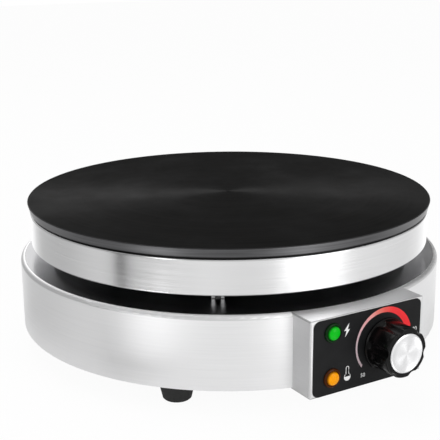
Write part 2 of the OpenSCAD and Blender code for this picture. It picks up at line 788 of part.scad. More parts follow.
// A folded housing, open at the back, whose edges end on the drum
module control_box() {
    depth = box_reach;
    color([0.7, 0.7, 0.7]) on_axis() difference() {
        translate([0, front_y + depth / 2, knob_z])
            round_box([box_w, depth, box_h], box_bend_r);
        translate([0, behind_y + depth / 2, knob_z])
            round_box([box_w - 2 * box_t, depth, box_h - 2 * box_t], box_bend_r - box_t);
        translate([0, 0, drum_z - over]) cylinder(h = drum_h + 2 * over, r = drum_top_r);
        translate([0, 0, box_z - over]) cylinder(h = box_drop + over, r = cover_r + slip);
        facing_front(knob_x, behind_y + over, knob_z) cylinder(h = box_t + 2 * over, d = bush_d + 2 * fit);
        for (z = lamp_places) facing_front(-lamp_x, behind_y + over, z)
            cylinder(h = box_t + 2 * over, d = holder_d + 2 * fit);
    }
}

module label_panel() {
    color([0.12, 0.12, 0.13]) on_axis() difference() {
        facing_front(0, front_y, knob_z) linear_extrude(label_t)
            round_rect(label_w, label_h, label_corner_r);
        facing_front(knob_x, front_y + over, knob_z) cylinder(h = label_t + 2 * over, d = bush_d + 2 * fit);
        for (z = lamp_places) facing_front(-lamp_x, front_y + over, z)
            cylinder(h = label_t + 2 * over, d = holder_d + 2 * fit);
    }
}

// A moulded lens: a flange against the label, a step, and a domed middle
module lamp_lens() {
    dome_h = lens_h - 2;
    ball_r = (lens_dome_d * lens_dome_d / 4 + dome_h * dome_h) / 2 / dome_h;
    rotate_extrude() {
        polygon([
            [0, 0], [lens_d / 2, 0], [lens_d / 2, 1], [lens_d / 2 - 0.8, 2], [0, 2]
        ]);
        intersection() {
            translate([0, 2 + dome_h - ball_r]) circle(ball_r);
            translate([0, 1.5]) square([lens_dome_d / 2, lens_h]);
        }
    }
}

module power_lamp_lens() {
    color([0.05, 0.7, 0.15]) on_axis() facing_front(-lamp_x, label_y, lamp_places[1]) lamp_lens();
}

module heating_lamp_lens() {
    color([1, 0.55, 0.05]) on_axis() facing_front(-lamp_x, label_y, lamp_places[0]) lamp_lens();
}

// A lamp holder: a barrel through the label and the front, with two tabs behind
module lamp_holders() {
    barrel_l = holder_l + box_t + label_t;
    color([0.85, 0.85, 0.8]) on_axis() for (z = lamp_places)
        facing_front(-lamp_x, behind_y + holder_l, z) {
            cylinder(h = barrel_l, d = holder_d);
            for (x = [-1, 1]) translate([x * 2.2 - tab_t / 2, -1.6, -tab_l]) cube([tab_t, 3.2, tab_l]);
        }
}

module lamp_clips() {
    color([0.6, 0.6, 0.6]) on_axis() for (z = lamp_places)
        facing_front(-lamp_x, behind_y + 2, z) difference() {
            linear_extrude(2) round_rect(holder_d + 6, holder_d + 6, 2);
            translate([0, 0, -over]) cylinder(h = 2 + 2 * over, d = holder_d + 2 * fit);
        }
}

// ---- Thermostat and knob ----

// A steel mounting frame, a moulded switch block, a threaded bush and four tabs
module thermostat_body() {
    frame_w = thermostat_w + 6;
    frame_h = thermostat_w - 8;
    frame_t = 1.5;
    color([0.35, 0.3, 0.25]) on_axis() difference() {
        union() {
            facing_front(knob_x, behind_y + frame_t, knob_z) linear_extrude(frame_t)
                round_rect(frame_w, frame_h, 3);
            facing_front(knob_x, thermostat_back_y, knob_z) linear_extrude(thermostat_depth - frame_t + 0.5)
                round_rect(thermostat_w, thermostat_w, 2);
            facing_front(knob_x, behind_y + frame_t, knob_z) cylinder(h = frame_t + bush_l, d = bush_d);
            for (x = [-1, 1], z = [-1, 1])
                translate([knob_x + x * tab_x - tab_w / 2, thermostat_back_y - over, knob_z + z * tab_x])
                    cube([tab_w, tab_l + over, tab_t]);
        }
        facing_front(knob_x, spindle_back_y, knob_z)
            cylinder(h = spindle_back_y - bush_y + over, d = spindle_d + 2 * running_clearance);
    }
}

module thermostat_nut() {
    color([0.75, 0.75, 0.72]) on_axis() facing_front(knob_x, label_y, knob_z)
        hex_nut(bush_nut_d, bush_nut_h, bush_d + 2 * fit);
}

// The round spindle with its flat, from inside the thermostat to the knob
module thermostat_spindle() {
    back = spindle_back_y - slip;
    flat_l = hub_l;
    color([0.8, 0.75, 0.55]) on_axis() facing_front(knob_x, back, knob_z) difference() {
        cylinder(h = back - spindle_tip_y, d = spindle_d);
        translate([-spindle_d, spindle_d / 2 - spindle_flat, back - spindle_tip_y - flat_l])
            cube([2 * spindle_d, spindle_d, flat_l + over]);
    }
}

// The knob's grip: a hollow moulding with scallops, a base skirt with a pointer, and
// a hub that takes the spindle and its spring clip
module knob_grip() {
    grip_r = knob_d / 2;
    wall = 2.6;
    back_l = skirt_back_y - grip_front_y;
    root_r = grip_r - scallop_depth;
    color([0.06, 0.06, 0.06]) on_axis() facing_front(knob_x, skirt_back_y, knob_z) difference() {
        union() {
            difference() {
                rotate_extrude() difference() {
                    polygon([
                        [0, knob_skirt_t], [grip_r, knob_skirt_t], [grip_r - 0.3, back_l - 0.8],
                        [grip_r - 1, back_l], [0, back_l]
                    ]);
                    translate([0, -over]) square([root_r - wall, back_l - 3 + over]);
                }
                for (i = [0:scallop_count - 1]) rotate([0, 0, scallop_turn + i * 360 / scallop_count])
                    translate([root_r + scallop_r, 0, knob_skirt_t + 1.5])
                        cylinder(h = back_l, r = scallop_r);
            }
            rotate_extrude() translate([root_r - wall, 0]) polygon([
                [0, 0], [knob_skirt_d / 2 - root_r + wall, 0],
                [knob_skirt_d / 2 - root_r + wall, knob_skirt_t * 0.5],
                [knob_skirt_d / 2 - root_r + wall - 1, knob_skirt_t], [0, knob_skirt_t + 1]
            ]);
            rotate([0, 0, pointer_turn]) linear_extrude(knob_skirt_t) polygon([
                [knob_skirt_d / 2 - 2, -2.2], [knob_skirt_d / 2 + 1.2, 0], [knob_skirt_d / 2 - 2, 2.2]
            ]);
            translate([0, 0, skirt_back_y - hub_back_y]) cylinder(h = hub_l + 2, d = hub_d);
        }
        translate([0, 0, skirt_back_y - hub_back_y - over]) difference() {
            cylinder(h = hub_l + over, d = spindle_d + 2 * fit);
            translate([-spindle_d, spindle_d / 2 - spindle_flat + fit + clip_t + fit, over])
                cube([2 * spindle_d, spindle_d, hub_l + over]);
        }
    }
}

// The silver cap that fills the front of the grip, spun with a raised, bevelled rim
module knob_cap() {
    cap_r = cap_d / 2;
    color([0.85, 0.85, 0.86]) on_axis() facing_front(knob_x, grip_front_y, knob_z) rotate_extrude()
        polygon([
            [0, 0], [cap_r, 0], [cap_r, cap_t * 0.5], [cap_r - 0.6, cap_t], [cap_r - 1.6, cap_t],
            [cap_r - 2.4, cap_t - cap_dish], [0, cap_t - cap_dish]
        ]);
}

// A spring strip between the spindle's flat and the hub
module knob_clip() {
    color([0.5, 0.55, 0.7]) on_axis() facing_front(knob_x, hub_back_y, knob_z)
        translate([-spindle_d / 4, spindle_d / 2 - spindle_flat + fit / 2, over])
            cube([spindle_d / 2, clip_t, hub_l - 2]);
}

// ---- Terminals and cord entry ----

module terminal_block() {
    color([0.93, 0.92, 0.88]) on_axis() translate([0, block_y, block_z]) difference() {
        translate([-block_l / 2, -block_w / 2, 0]) cube([block_l, block_w, block_h]);
        for (i = [-1:1]) translate([i * pole_pitch, 0, 0]) {
            translate([0, 0, block_h / 2]) rotate([90, 0, 0])
                cylinder(h = block_w + 2 * over, d = wire_hole_d, center = true);
            for (y = [-1, 1]) translate([0, y * block_w / 4, block_h / 2])
                cylinder(h = block_h, d = m4 + 2 * fit);
        }
        for (x = [-1, 1]) translate([x * block_screw_x, 0, -over])
            cylinder(h = block_h + 2 * over, d = block_screw_d + 2 * fit);
    }
}

module terminal_screws() {
    color([0.8, 0.65, 0.3]) on_axis() for (i = [-1:1], y = [-1, 1])
        translate([i * pole_pitch, block_y + y * block_w / 4, block_z + block_h / 2 + wire_hole_d / 2])
            cylinder(h = block_h / 2 - wire_hole_d / 2 - 1, d = m4);
}

module block_screws() {
    color([0.75, 0.75, 0.72]) on_axis() for (x = [-1, 1])
        translate([x * block_screw_x, block_y, block_top_z]) mirror([0, 0, 1])
            screw(block_screw_d, block_h + cover_t, 6.4, small_head_h);
}

// A screwed gland at the back of the drum: hexagon, clamping dome and threaded tail
module cable_gland() {
    r = gland_thread_d / 2;
    color([0.08, 0.08, 0.08]) on_axis() translate([0, drum_r, gland_z]) rotate([-90, 0, 0]) difference() {
        union() {
            translate([0, 0, -gland_tail_l]) cylinder(h = gland_tail_l + 1, r = r);
            hex(gland_hex_d, gland_hex_l);
            translate([0, 0, gland_hex_l]) rotate_extrude() polygon([
                [0, 0], [r + 2.6, 0], [r + 2.6, gland_dome_l * 0.55], [r + 1.6, gland_dome_l * 0.75],
                [r - 1.5, gland_dome_l], [0, gland_dome_l]
            ]);
        }
        translate([0, 0, -gland_tail_l - over])
            cylinder(h = gland_tail_l + gland_hex_l + gland_dome_l + 2 * over, d = gland_bore_d);
    }
}

module gland_locknut() {
    nut_h = 5;
    reach = sqrt(pow(drum_r - drum_t, 2) - pow(gland_hex_d / 2, 2));
    color([0.1, 0.1, 0.1]) on_axis() translate([0, reach - nut_h, gland_z]) rotate([-90, 0, 0])
        hex_nut(gland_hex_d, nut_h, gland_thread_d + 2 * fit);
}

module base_cover() {
    color([0.6, 0.6, 0.62]) on_axis() translate([0, 0, cover_z]) difference() {
        cylinder(h = cover_t, r = cover_r);
        translate([0, 0, -over]) {
            linear_extrude(cover_t + 2 * over)
                at_angles([for (i = [0:vent_count - 1]) 360 * i / vent_count])
                    translate([vent_ring_r, 0]) slot(vent_l, vent_w);
            linear_extrude(cover_t + 2 * over) at_angles([for (i = [0:11]) 30 * i])
                translate([vent_ring_r / 2, 0]) slot(vent_l * 0.7, vent_w);
            at_angles(cover_screw_angles) translate([cover_screw_r, 0, 0])
                cylinder(h = cover_t + 2 * over, d = m4 + 2 * hole_room);
            at_angles(foot_angles) translate([foot_circle_r, 0, 0])
                cylinder(h = cover_t + 2 * over, d = m5 + 2 * hole_room);
            for (x = [-1, 1]) translate([x * block_screw_x, block_y, 0])
                cylinder(h = cover_t + 2 * over, d = block_screw_d + 2 * fit);
        }
    }
}

module cover_screws() {
    color([0.75, 0.75, 0.72]) on_axis() at_angles(cover_screw_angles)
        translate([cover_screw_r, 0, cover_z]) screw(m4, cover_t + drum_t + 3, small_head_d, small_head_h);
}

// ---- Feet ----

// A tapered rubber foot with a collar at the top and a recess for its screw
module rubber_foot(angle) {
    color([0.08, 0.08, 0.08]) on_axis() rotate([0, 0, angle]) translate([foot_circle_r, 0, 0])
    difference() {
        rotate_extrude() polygon([
            [0, 0], [foot_bottom_d / 2 - 1, 0], [foot_bottom_d / 2, 1],
            [foot_top_d / 2 - 1, foot_h - 4], [foot_top_d / 2, foot_h - 3],
            [foot_top_d / 2, foot_h], [0, foot_h]
        ]);
        translate([0, 0, -over]) cylinder(h = foot_h - foot_screw_grip + over, d = foot_recess_d);
        cylinder(h = foot_h + over, d = m5 + 2 * fit);
    }
}
module foot_front_left() rubber_foot(foot_angles[0]);
module foot_front_right() rubber_foot(foot_angles[1]);
module foot_rear_left() rubber_foot(foot_angles[2]);
module foot_rear_right() rubber_foot(foot_angles[3]);

module foot_screws() {
    color([0.75, 0.75, 0.72]) on_axis() at_angles(foot_angles)
        translate([foot_circle_r, 0, foot_h - foot_screw_grip])
            screw(m5, foot_screw_grip + cover_t + m5_nut_h + 1, m5_head_d, m5_head_h);
}

module foot_nuts() {
    color([0.75, 0.75, 0.72]) on_axis() at_angles(foot_angles)
        translate([foot_circle_r, 0, cover_z + cover_t]) hex_nut(m5_nut_d, m5_nut_h, m5 + 2 * fit);
}

griddle_plate();
heating_element_outer();
heating_element_inner();
element_clamps();
plate_studs();
clamp_nuts();
stud_nuts();
thermostat_bulb();
bulb_clip();
capillary_tube();
thermal_cutout();
plate_screws();
heat_reflector();
insulation_disc();
pan_floor();
upper_skirt();
stand_offs();
stand_off_screws();
stand_off_nuts();
wiring_conduit();
conduit_nut();
element_leads();
drum_top();
drum_shell();
control_box();
label_panel();
power_lamp_lens();
heating_lamp_lens();
lamp_holders();
lamp_clips();
thermostat_body();
thermostat_nut();
thermostat_spindle();
knob_grip();
knob_cap();
knob_clip();
terminal_block();
terminal_screws();
block_screws();
cable_gland();
gland_locknut();
base_cover();
cover_screws();
foot_front_left();
foot_front_right();
foot_rear_left();
foot_rear_right();
foot_screws();
foot_nuts();
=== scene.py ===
# An electric crepe maker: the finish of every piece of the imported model, the mouldings
# and prints that the solids leave plain, and the studio it is shown in. Metres, +Z up.
import math

import bmesh
import bpy
from mathutils import Matrix, Vector


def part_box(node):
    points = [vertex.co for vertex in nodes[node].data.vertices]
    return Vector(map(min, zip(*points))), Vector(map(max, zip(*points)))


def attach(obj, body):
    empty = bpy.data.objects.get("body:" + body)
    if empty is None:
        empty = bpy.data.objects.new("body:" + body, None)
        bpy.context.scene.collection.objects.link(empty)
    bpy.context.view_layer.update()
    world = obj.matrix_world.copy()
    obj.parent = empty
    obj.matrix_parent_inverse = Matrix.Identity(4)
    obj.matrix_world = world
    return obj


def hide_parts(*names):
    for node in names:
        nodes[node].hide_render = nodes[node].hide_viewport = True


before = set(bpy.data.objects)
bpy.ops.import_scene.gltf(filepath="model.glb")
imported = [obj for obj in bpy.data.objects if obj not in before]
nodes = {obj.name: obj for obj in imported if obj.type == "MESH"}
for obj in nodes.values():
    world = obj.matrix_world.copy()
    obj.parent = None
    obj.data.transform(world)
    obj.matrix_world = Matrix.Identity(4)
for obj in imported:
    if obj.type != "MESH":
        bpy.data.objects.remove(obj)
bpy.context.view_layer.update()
scene = bpy.context.scene


# ---- The view ----
# A long lens stands a little above the maker, to the left of its control box, and looks
# slightly down on it.
eye = Vector((-0.5027, -0.81255, 0.3784))
heading = math.radians(30.84)
downward = math.radians(15.45)
roll = math.radians(-0.46)
lens_mm = 80.46
sensor_mm = 36.0
nearest_seen = 0.05

camera = bpy.data.objects.new("camera", bpy.data.cameras.new("camera"))
camera.data.sensor_width = sensor_mm
camera.data.lens = lens_mm
camera.data.clip_start = nearest_seen
aimed = Matrix.Rotation(-heading, 4, "Z") @ Matrix.Rotation(math.pi / 2 - downward, 4, "X")
camera.matrix_world = Matrix.Translation(eye) @ aimed @ Matrix.Rotation(roll, 4, "Z")
scene.collection.objects.link(camera)
scene.camera = camera
scene.view_settings.view_transform = "Standard"


# ---- The studio ----
# A pale sweep of paper lies under the maker, in a bright room whose light and dark panels
# the steel mirrors as upright bands. Three soft boxes light its form.
def new_node(tree, kind, inputs=None, **settings):
    """A shader node; an input is a value, or the output that leads to it."""
    made = tree.nodes.new("ShaderNode" + kind)
    for name, value in settings.items():
        setattr(made, name, value)
    for name, value in (inputs or {}).items():
        if isinstance(value, bpy.types.NodeSocket):
            tree.links.new(value, made.inputs[name])
        else:
            made.inputs[name].default_value = value
    return made


def calculate(tree, operation, *values):
    inputs = dict(enumerate(values))
    return new_node(tree, "Math", inputs, operation=operation).outputs[0]


def opposite(tree, share):
    """1 less the share."""
    return calculate(tree, "SUBTRACT", 1.0, share)


def combine(tree, operation, *vectors):
    """What calculate does, for vectors and colours."""
    inputs = dict(enumerate(vectors))
    return new_node(tree, "VectorMath", inputs, operation=operation).outputs[0]


def length(tree, vector):
    return new_node(tree, "VectorMath", {0: vector}, operation="LENGTH").outputs["Value"]


def split(tree, vector):
    """A vector's X, Y and Z."""
    return new_node(tree, "SeparateXYZ", {0: vector}).outputs


def ramp(tree, factor, stops):
    """A smooth colour ramp through (place, grey or colour) stops."""
    made = new_node(tree, "ValToRGB", {"Fac": factor})
    made.color_ramp.interpolation = "EASE"
    elements = made.color_ramp.elements
    while len(elements) < len(stops):
        elements.new(0.5)
    for element, (place, tone) in zip(elements, stops):
        element.position = place
    for element, (place, tone) in zip(elements, stops):
        element.color = (*tone, 1) if isinstance(tone, tuple) else (tone, tone, tone, 1)
    return made.outputs["Color"]


# Brightness of the room that steel mirrors, by the bearing from the maker's front: -90 is
# its left side, 90 its right
room_tones = [
    (-180, 1.15), (-174, 0.80), (-162, 0.58), (-140, 0.54), (-104, 0.72), (-98, 0.68), (-95, 0.09),
    (-91, 0.09), (-88, 0.46), (-76, 0.36), (-66, 0.46), (-58, 0.80), (-44, 0.93), (-16, 0.90),
    (-6, 0.90), (1, 1.28), (30, 1.30), (38, 0.94), (86, 0.84), (100, 0.92), (110, 1.08), (122, 1.25),
    (138, 1.36), (152, 1.36), (168, 1.25), (180, 1.15),
]
# The same close to the ground, where narrow cards stand by the maker
low_tones = [
    (-180, 1.70), (-160, 1.45), (-148, 1.10), (-130, 0.92), (-100, 0.95), (-92, 1.30), (-84, 3.60),
    (-71, 3.60), (-62, 1.20), (-48, 0.90), (-22, 0.72), (-6, 0.85), (4, 2.60), (13, 3.40), (24, 3.40),
    (33, 1.30), (44, 0.90), (66, 0.92), (86, 1.15), (104, 1.60), (124, 1.80), (150, 1.60),
    (180, 1.70),
]
# The cards end at this share of the way up, where -1 is straight down
low_edge = -0.47
# A dark board hangs behind, between these bearings, above this share of the way up
board_from, board_to = 95, 140
board_foot = 0.10
board_tone = 0.12
# How softly the board's left and right sides, in radians, and the level edges fade
left_blend, right_blend, level_blend = 0.1, 0.06, 0.05
# Strength of the room's light on whatever isn't a mirror
room_light = 0.62
white = (1, 1, 1, 1)

world = bpy.data.worlds.new("studio")
scene.world = world
world.use_nodes = True
sky = world.node_tree
sky.nodes.clear()
direction = split(sky, new_node(sky, "TexCoord").outputs["Generated"])
toward_front = calculate(sky, "MULTIPLY", direction["Y"], -1.0)
ray_bearing = calculate(sky, "ARCTAN2", direction["X"], toward_front)
round_the_room = calculate(sky, "MULTIPLY_ADD", ray_bearing, 0.5 / math.pi, 0.5)


def wall_tone(tones):
    """The tone all round the room, from (bearing, tone) stops."""
    return ramp(sky, round_the_room, [(bearing / 360 + 0.5, tone) for bearing, tone in tones])


def past(value, edge, blend):
    """0 before the edge, 1 after it."""
    inputs = {"Value": value, "From Min": edge - blend, "From Max": edge + blend}
    return new_node(sky, "MapRange", inputs).outputs["Result"]


def room(colour, strength):
    return new_node(sky, "Background", {"Color": colour, "Strength": strength}).outputs[0]


high_walls = wall_tone(room_tones)
low_walls = wall_tone(low_tones)
after_left = past(ray_bearing, math.radians(board_from), left_blend)
before_right = opposite(sky, past(ray_bearing, math.radians(board_to), right_blend))
across_board = calculate(sky, "MULTIPLY", after_left, before_right)
above_board_foot = past(direction["Z"], board_foot, level_blend)
on_board = calculate(sky, "MULTIPLY", across_board, above_board_foot)
dimmed = calculate(sky, "MULTIPLY_ADD", on_board, board_tone - 1, 1.0)
above_cards = past(direction["Z"], low_edge, level_blend)
from_low_to_high = combine(sky, "SUBTRACT", high_walls, low_walls)
walls = combine(sky, "MULTIPLY_ADD", from_low_to_high, above_cards, low_walls)
mirrored = combine(sky, "MULTIPLY", walls, dimmed)
ray = new_node(sky, "LightPath").outputs
white_room = room(white, 1.0)
soft_room = room(white, room_light)
steel_room = room(mirrored, 1.0)
in_mirror = calculate(sky, "MAXIMUM", ray["Is Glossy Ray"], ray["Is Transmission Ray"])
lit = new_node(sky, "MixShader", {0: in_mirror, 1: soft_room, 2: steel_room}).outputs[0]
seen = new_node(sky, "MixShader", {0: ray["Is Camera Ray"], 1: lit, 2: white_room}).outputs[0]
new_node(sky, "OutputWorld", {"Surface": seen})

floor_size = 12.0
paper_colour = (0.86, 0.86, 0.86, 1)
# How much of the paper glows white by itself, to the eye and in a mirror
glow_to_eye = 0.95
glow_in_mirror = 0.45
# Farther from the middle than this, a mirror sees the room instead of the paper
mirrored_paper_r = 0.27

floor_mesh = bpy.data.meshes.new("paper_sweep")
half = floor_size / 2
corners = [(-half, -half, 0), (half, -half, 0), (half, half, 0), (-half, half, 0)]
floor_mesh.from_pydata(corners, [], [(0, 1, 2, 3)])
paper_sweep = bpy.data.objects.new("paper_sweep", floor_mesh)
scene.collection.objects.link(paper_sweep)
paper = bpy.data.materials.new("white_paper")
paper.use_nodes = True
tree = paper.node_tree
tree.nodes.clear()
ray = new_node(tree, "LightPath").outputs
matt = new_node(tree, "BsdfDiffuse", {"Color": paper_colour}).outputs[0]
glow = new_node(tree, "Emission", {"Color": white, "Strength": 1.0}).outputs[0]
looked_at = calculate(tree, "MULTIPLY", ray["Is Camera Ray"], glow_to_eye)
mirrored_too = calculate(tree, "MULTIPLY", ray["Is Glossy Ray"], glow_in_mirror)
glow_share = calculate(tree, "MAXIMUM", looked_at, mirrored_too)
both = new_node(tree, "MixShader", {0: glow_share, 1: matt, 2: glow}).outputs[0]
from_middle = length(tree, new_node(tree, "TexCoord").outputs["Object"])
beyond = calculate(tree, "GREATER_THAN", from_middle, mirrored_paper_r)
cleared = calculate(tree, "MULTIPLY", beyond, ray["Is Glossy Ray"])
room_below = new_node(tree, "BsdfTransparent").outputs[0]
paper_or_room = new_node(tree, "MixShader", {0: cleared, 1: both, 2: room_below}).outputs[0]
new_node(tree, "OutputMaterial", {"Surface": paper_or_room})
floor_mesh.materials.append(paper)

lamps_aim = Vector((0, 0, 0.08))


def soft_box(name, bearing, height, away, size, brightness):
    """A lit panel that faces the maker from a bearing; its brightness is a share of white."""
    lamp = bpy.data.lights.new(name, "AREA")
    lamp.shape = "RECTANGLE"
    lamp.size, lamp.size_y = size
    lamp.energy = brightness * math.pi * size[0] * size[1]
    stand = bpy.data.objects.new(name, lamp)
    turned = math.radians(bearing)
    stand.location = (away * math.sin(turned), -away * math.cos(turned), height)
    stand.rotation_euler = (lamps_aim - stand.location).to_track_quat("-Z", "Y").to_euler()
    scene.collection.objects.link(stand)


soft_box("left_soft_box", bearing=-66, height=0.62, away=1.5, size=(0.35, 0.9), brightness=3.4)
soft_box("front_soft_box", bearing=19, height=0.55, away=1.6, size=(0.8, 0.9), brightness=3.3)
soft_box("top_soft_box", bearing=200, height=1.9, away=0.6, size=(1.2, 1.2), brightness=2.5)


# ---- Griddle plate ----
# A round grey-iron casting, turned on top and round its rim. Its top is seasoned black
# with oil baked on in use; the rim keeps the grey of the turned iron.
def finish(name, metal=0.0, rough=0.5, **constants):
    """A new finish: its material, its node tree and its shader."""
    material = bpy.data.materials.new(name)
    material.use_nodes = True
    shader = material.node_tree.nodes["Principled BSDF"]
    shader.inputs["Metallic"].default_value = metal
    shader.inputs["Roughness"].default_value = rough
    for words, value in constants.items():
        shader.inputs[words.replace("_", " ")].default_value = value
    return material, material.node_tree, shader


def place_in(tree):
    """Where a surface point is on the maker, in metres."""
    return new_node(tree, "TexCoord").outputs["Object"]


def stretched(tree, place, scale):
    return combine(tree, "MULTIPLY", place, scale)


def joined(tree, **parts):
    """A vector of the given X, Y and Z."""
    return new_node(tree, "CombineXYZ", parts).outputs[0]


def noise(tree, place, scale=1.0, detail=2.0, rough=0.5):
    inputs = {"Vector": place, "Scale": scale, "Detail": detail, "Roughness": rough}
    return new_node(tree, "TexNoise", inputs).outputs["Fac"]


def between(tree, factor, low, high, span=(0.3, 0.7)):
    """Low to high as the factor crosses the span; noise keeps to the usual one."""
    inputs = {"Value": factor, "To Min": low, "To Max": high}
    inputs["From Min"], inputs["From Max"] = span
    return new_node(tree, "MapRange", inputs).outputs["Result"]


def mixed(tree, factor, first, second):
    made = tree.nodes.new("ShaderNodeMix")
    made.data_type = "RGBA"
    factor_in, first_in, second_in = made.inputs[0], made.inputs[6], made.inputs[7]
    for socket, value in ((factor_in, factor), (first_in, first), (second_in, second)):
        if isinstance(value, bpy.types.NodeSocket):
            tree.links.new(value, socket)
        else:
            socket.default_value = (*value, 1) if isinstance(value, tuple) else value
    return made.outputs[2]


def mottled(tree, pattern, dark, light, span=(0.3, 0.7)):
    """A colour from dark to light, by a texture."""
    return mixed(tree, between(tree, pattern, 0, 1, span), dark, light)


def paint(tree, shader, colour, rough=None):
    """Leads a colour to the shader, and a roughness where it varies."""
    tree.links.new(colour, shader.inputs["Base Color"])
    if rough is not None:
        tree.links.new(rough, shader.inputs["Roughness"])


def relief(tree, shader, height, depth, strength=1.0, under=None):
    """Bump of the given depth in metres, on top of an earlier one."""
    inputs = {"Height": height, "Distance": depth, "Strength": strength}
    if under:
        inputs["Normal"] = under
    bump = new_node(tree, "Bump", inputs).outputs["Normal"]
    tree.links.new(bump, shader.inputs["Normal"])
    return bump


def dress(material, *names):
    for name in names:
        mesh = nodes[name].data
        mesh.materials.clear()
        mesh.materials.append(material)


plate_low, plate_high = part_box("griddle_plate")
axis = Vector(((plate_low.x + plate_high.x) / 2, (plate_low.y + plate_high.y) / 2, 0))


def from_axis(tree):
    """A surface point's place, counted from the maker's upright axis."""
    return combine(tree, "SUBTRACT", place_in(tree), axis)


def off_axis(tree):
    """How far a point is from that axis."""
    return length(tree, stretched(tree, from_axis(tree), (1, 1, 0)))


oil_black = (0.0024, 0.0024, 0.0025)
oil_worn = (0.0105, 0.0103, 0.0100)
iron_dark = (0.095, 0.095, 0.098)
iron_bright = (0.135, 0.135, 0.139)
joint_painted_shade = (0.012, 0.012, 0.012)
# The side is painted near black next to the skirt, as painted shade in the joint, up to here, and is
# clear of it from there
joint_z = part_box("upper_skirt")[1].z
joint_shade_span = (joint_z + 0.0012, joint_z + 0.0028)
# How far a surface faces up where the side ends, and where the top begins
top_span = (0.45, 0.8)
# The share of the top's wear that runs in rings; the rest lies in patches
ring_wear = 0.65
side_rough = 0.42

seasoned_iron, tree, shader = finish("seasoned_iron", Specular_IOR_Level=0.006, Anisotropic=0.8)
place = place_in(tree)
faces_up = split(tree, new_node(tree, "NewGeometry").outputs["Normal"])["Z"]
is_top = between(tree, faces_up, 0, 1, top_span)
is_side = opposite(tree, is_top)
ring_place = joined(tree, X=off_axis(tree))
tool_marks = noise(tree, ring_place, scale=1400, detail=2, rough=0.6)
wide_marks = noise(tree, ring_place, scale=160, detail=2, rough=0.5)
patches = noise(tree, place, scale=16, detail=5, rough=0.6)
specks = noise(tree, place, scale=900, detail=3, rough=0.6)
patch_wear = calculate(tree, "MULTIPLY", patches, 1 - ring_wear)
worn = calculate(tree, "MULTIPLY_ADD", wide_marks, ring_wear, patch_wear)
baked = mottled(tree, worn, oil_black, oil_worn, span=(0.36, 0.64))
side_lines = noise(tree, stretched(tree, place, (14, 14, 900)), detail=3)
turned = mottled(tree, side_lines, iron_dark, iron_bright)
# Painted shade: the side's lowest band, next to the skirt, is painted near black
clear_of_joint_shade = between(tree, split(tree, place)["Z"], 0, 1, joint_shade_span)
side = mixed(tree, clear_of_joint_shade, joint_painted_shade, turned)
patch_rough = between(tree, patches, 0.42, 0.6)
top_rough = calculate(tree, "ADD", patch_rough, between(tree, wide_marks, -0.04, 0.04))
rough_now = new_node(tree, "Mix", {"Factor": is_top, "A": side_rough, "B": top_rough}).outputs[0]
paint(tree, shader, mixed(tree, is_top, side, baked), rough_now)
tree.links.new(is_side, shader.inputs["Metallic"])
# The lathe's marks run round, so over them is upright on the side and radial on the top
radial = stretched(tree, stretched(tree, from_axis(tree), (10, 10, 0)), is_top)
over_marks = combine(tree, "ADD", radial, joined(tree, Z=is_side))
tree.links.new(over_marks, shader.inputs["Tangent"])
marks = relief(tree, shader, tool_marks, depth=0.00004, strength=0.5)
relief(tree, shader, specks, depth=0.00006, strength=0.35, under=marks)
dress(seasoned_iron, "griddle_plate")


# ---- Heating elements, clamps and studs ----
# Two rings of steel-sheathed element lie in grooves under the plate. Three bars press
# them home, each on a stud that also holds the plate down on the pan.
def shaded(colour, share):
    return tuple(c * share for c in colour)


def metal_finish(name, colour, rough, grain=1600, spots=60, variation=0.25):
    """A plain rolled or plated metal with a fine grain and cloudy patches."""
    material, tree, shader = finish(name, metal=1.0, rough=rough)
    place = place_in(tree)
    fine = noise(tree, place, scale=grain, detail=2, rough=0.6)
    cloudy = noise(tree, place, scale=spots, detail=4, rough=0.6)
    clouded = mottled(tree, cloudy, shaded(colour, 1 - variation), colour)
    paint(tree, shader, clouded, between(tree, cloudy, rough - 0.08, rough + 0.08))
    relief(tree, shader, fine, depth=0.00002, strength=0.4)
    return material


element_sheath = metal_finish(
    "heat_browned_sheath", (0.30, 0.25, 0.21), 0.45, spots=90, variation=0.5
)
dress(element_sheath, "heating_element_outer", "heating_element_inner")
zinc_plate = metal_finish("zinc_plate", (0.66, 0.67, 0.65), 0.32, spots=140)
dress(zinc_plate, "plate_studs", "clamp_nuts", "stud_nuts")
aluminised = metal_finish("aluminised_sheet", (0.52, 0.52, 0.51), 0.42, grain=500, spots=220)
dress(aluminised, "element_clamps")


# ---- Thermostat bulb, capillary and cut-out ----
# A copper bulb under the plate is joined by a thin copper tube to the thermostat. The
# cut-out beside it is a fired ceramic case. Plated screws hold it and the bulb's strap.
copper = metal_finish("drawn_copper", (0.80, 0.46, 0.32), 0.3, spots=70, variation=0.35)
dress(copper, "thermostat_bulb", "capillary_tube")
dress(aluminised, "bulb_clip")
dress(zinc_plate, "plate_screws")

clay = (0.86, 0.84, 0.78)
porcelain, tree, shader = finish("unglazed_porcelain", rough=0.7)
place = place_in(tree)
cloudy = noise(tree, place, scale=120, detail=4)
pits = noise(tree, place, scale=1500, detail=3)
paint(tree, shader, mottled(tree, cloudy, shaded(clay, 0.86), clay))
relief(tree, shader, pits, depth=0.00005, strength=0.5)
dress(porcelain, "thermal_cutout")


# ---- Reflector, insulation and pan floor ----
# Under the elements lie a bright aluminium dish, a pressed mineral-wool disc and the
# heat-tinted steel floor that carries them, painted near black also as painted shade.
bright_foil = metal_finish(
    "bright_aluminium", (0.88, 0.88, 0.87), 0.18, grain=300, spots=40, variation=0.1
)
dress(bright_foil, "heat_reflector")

wool, tree, shader = finish("mineral_wool", rough=0.95)
fibres = noise(tree, stretched(tree, place_in(tree), (900, 900, 3000)), detail=4, rough=0.7)
paint(tree, shader, mottled(tree, fibres, (0.50, 0.44, 0.28), (0.78, 0.73, 0.56)))
relief(tree, shader, fibres, depth=0.0004, strength=0.6)
dress(wool, "insulation_disc")
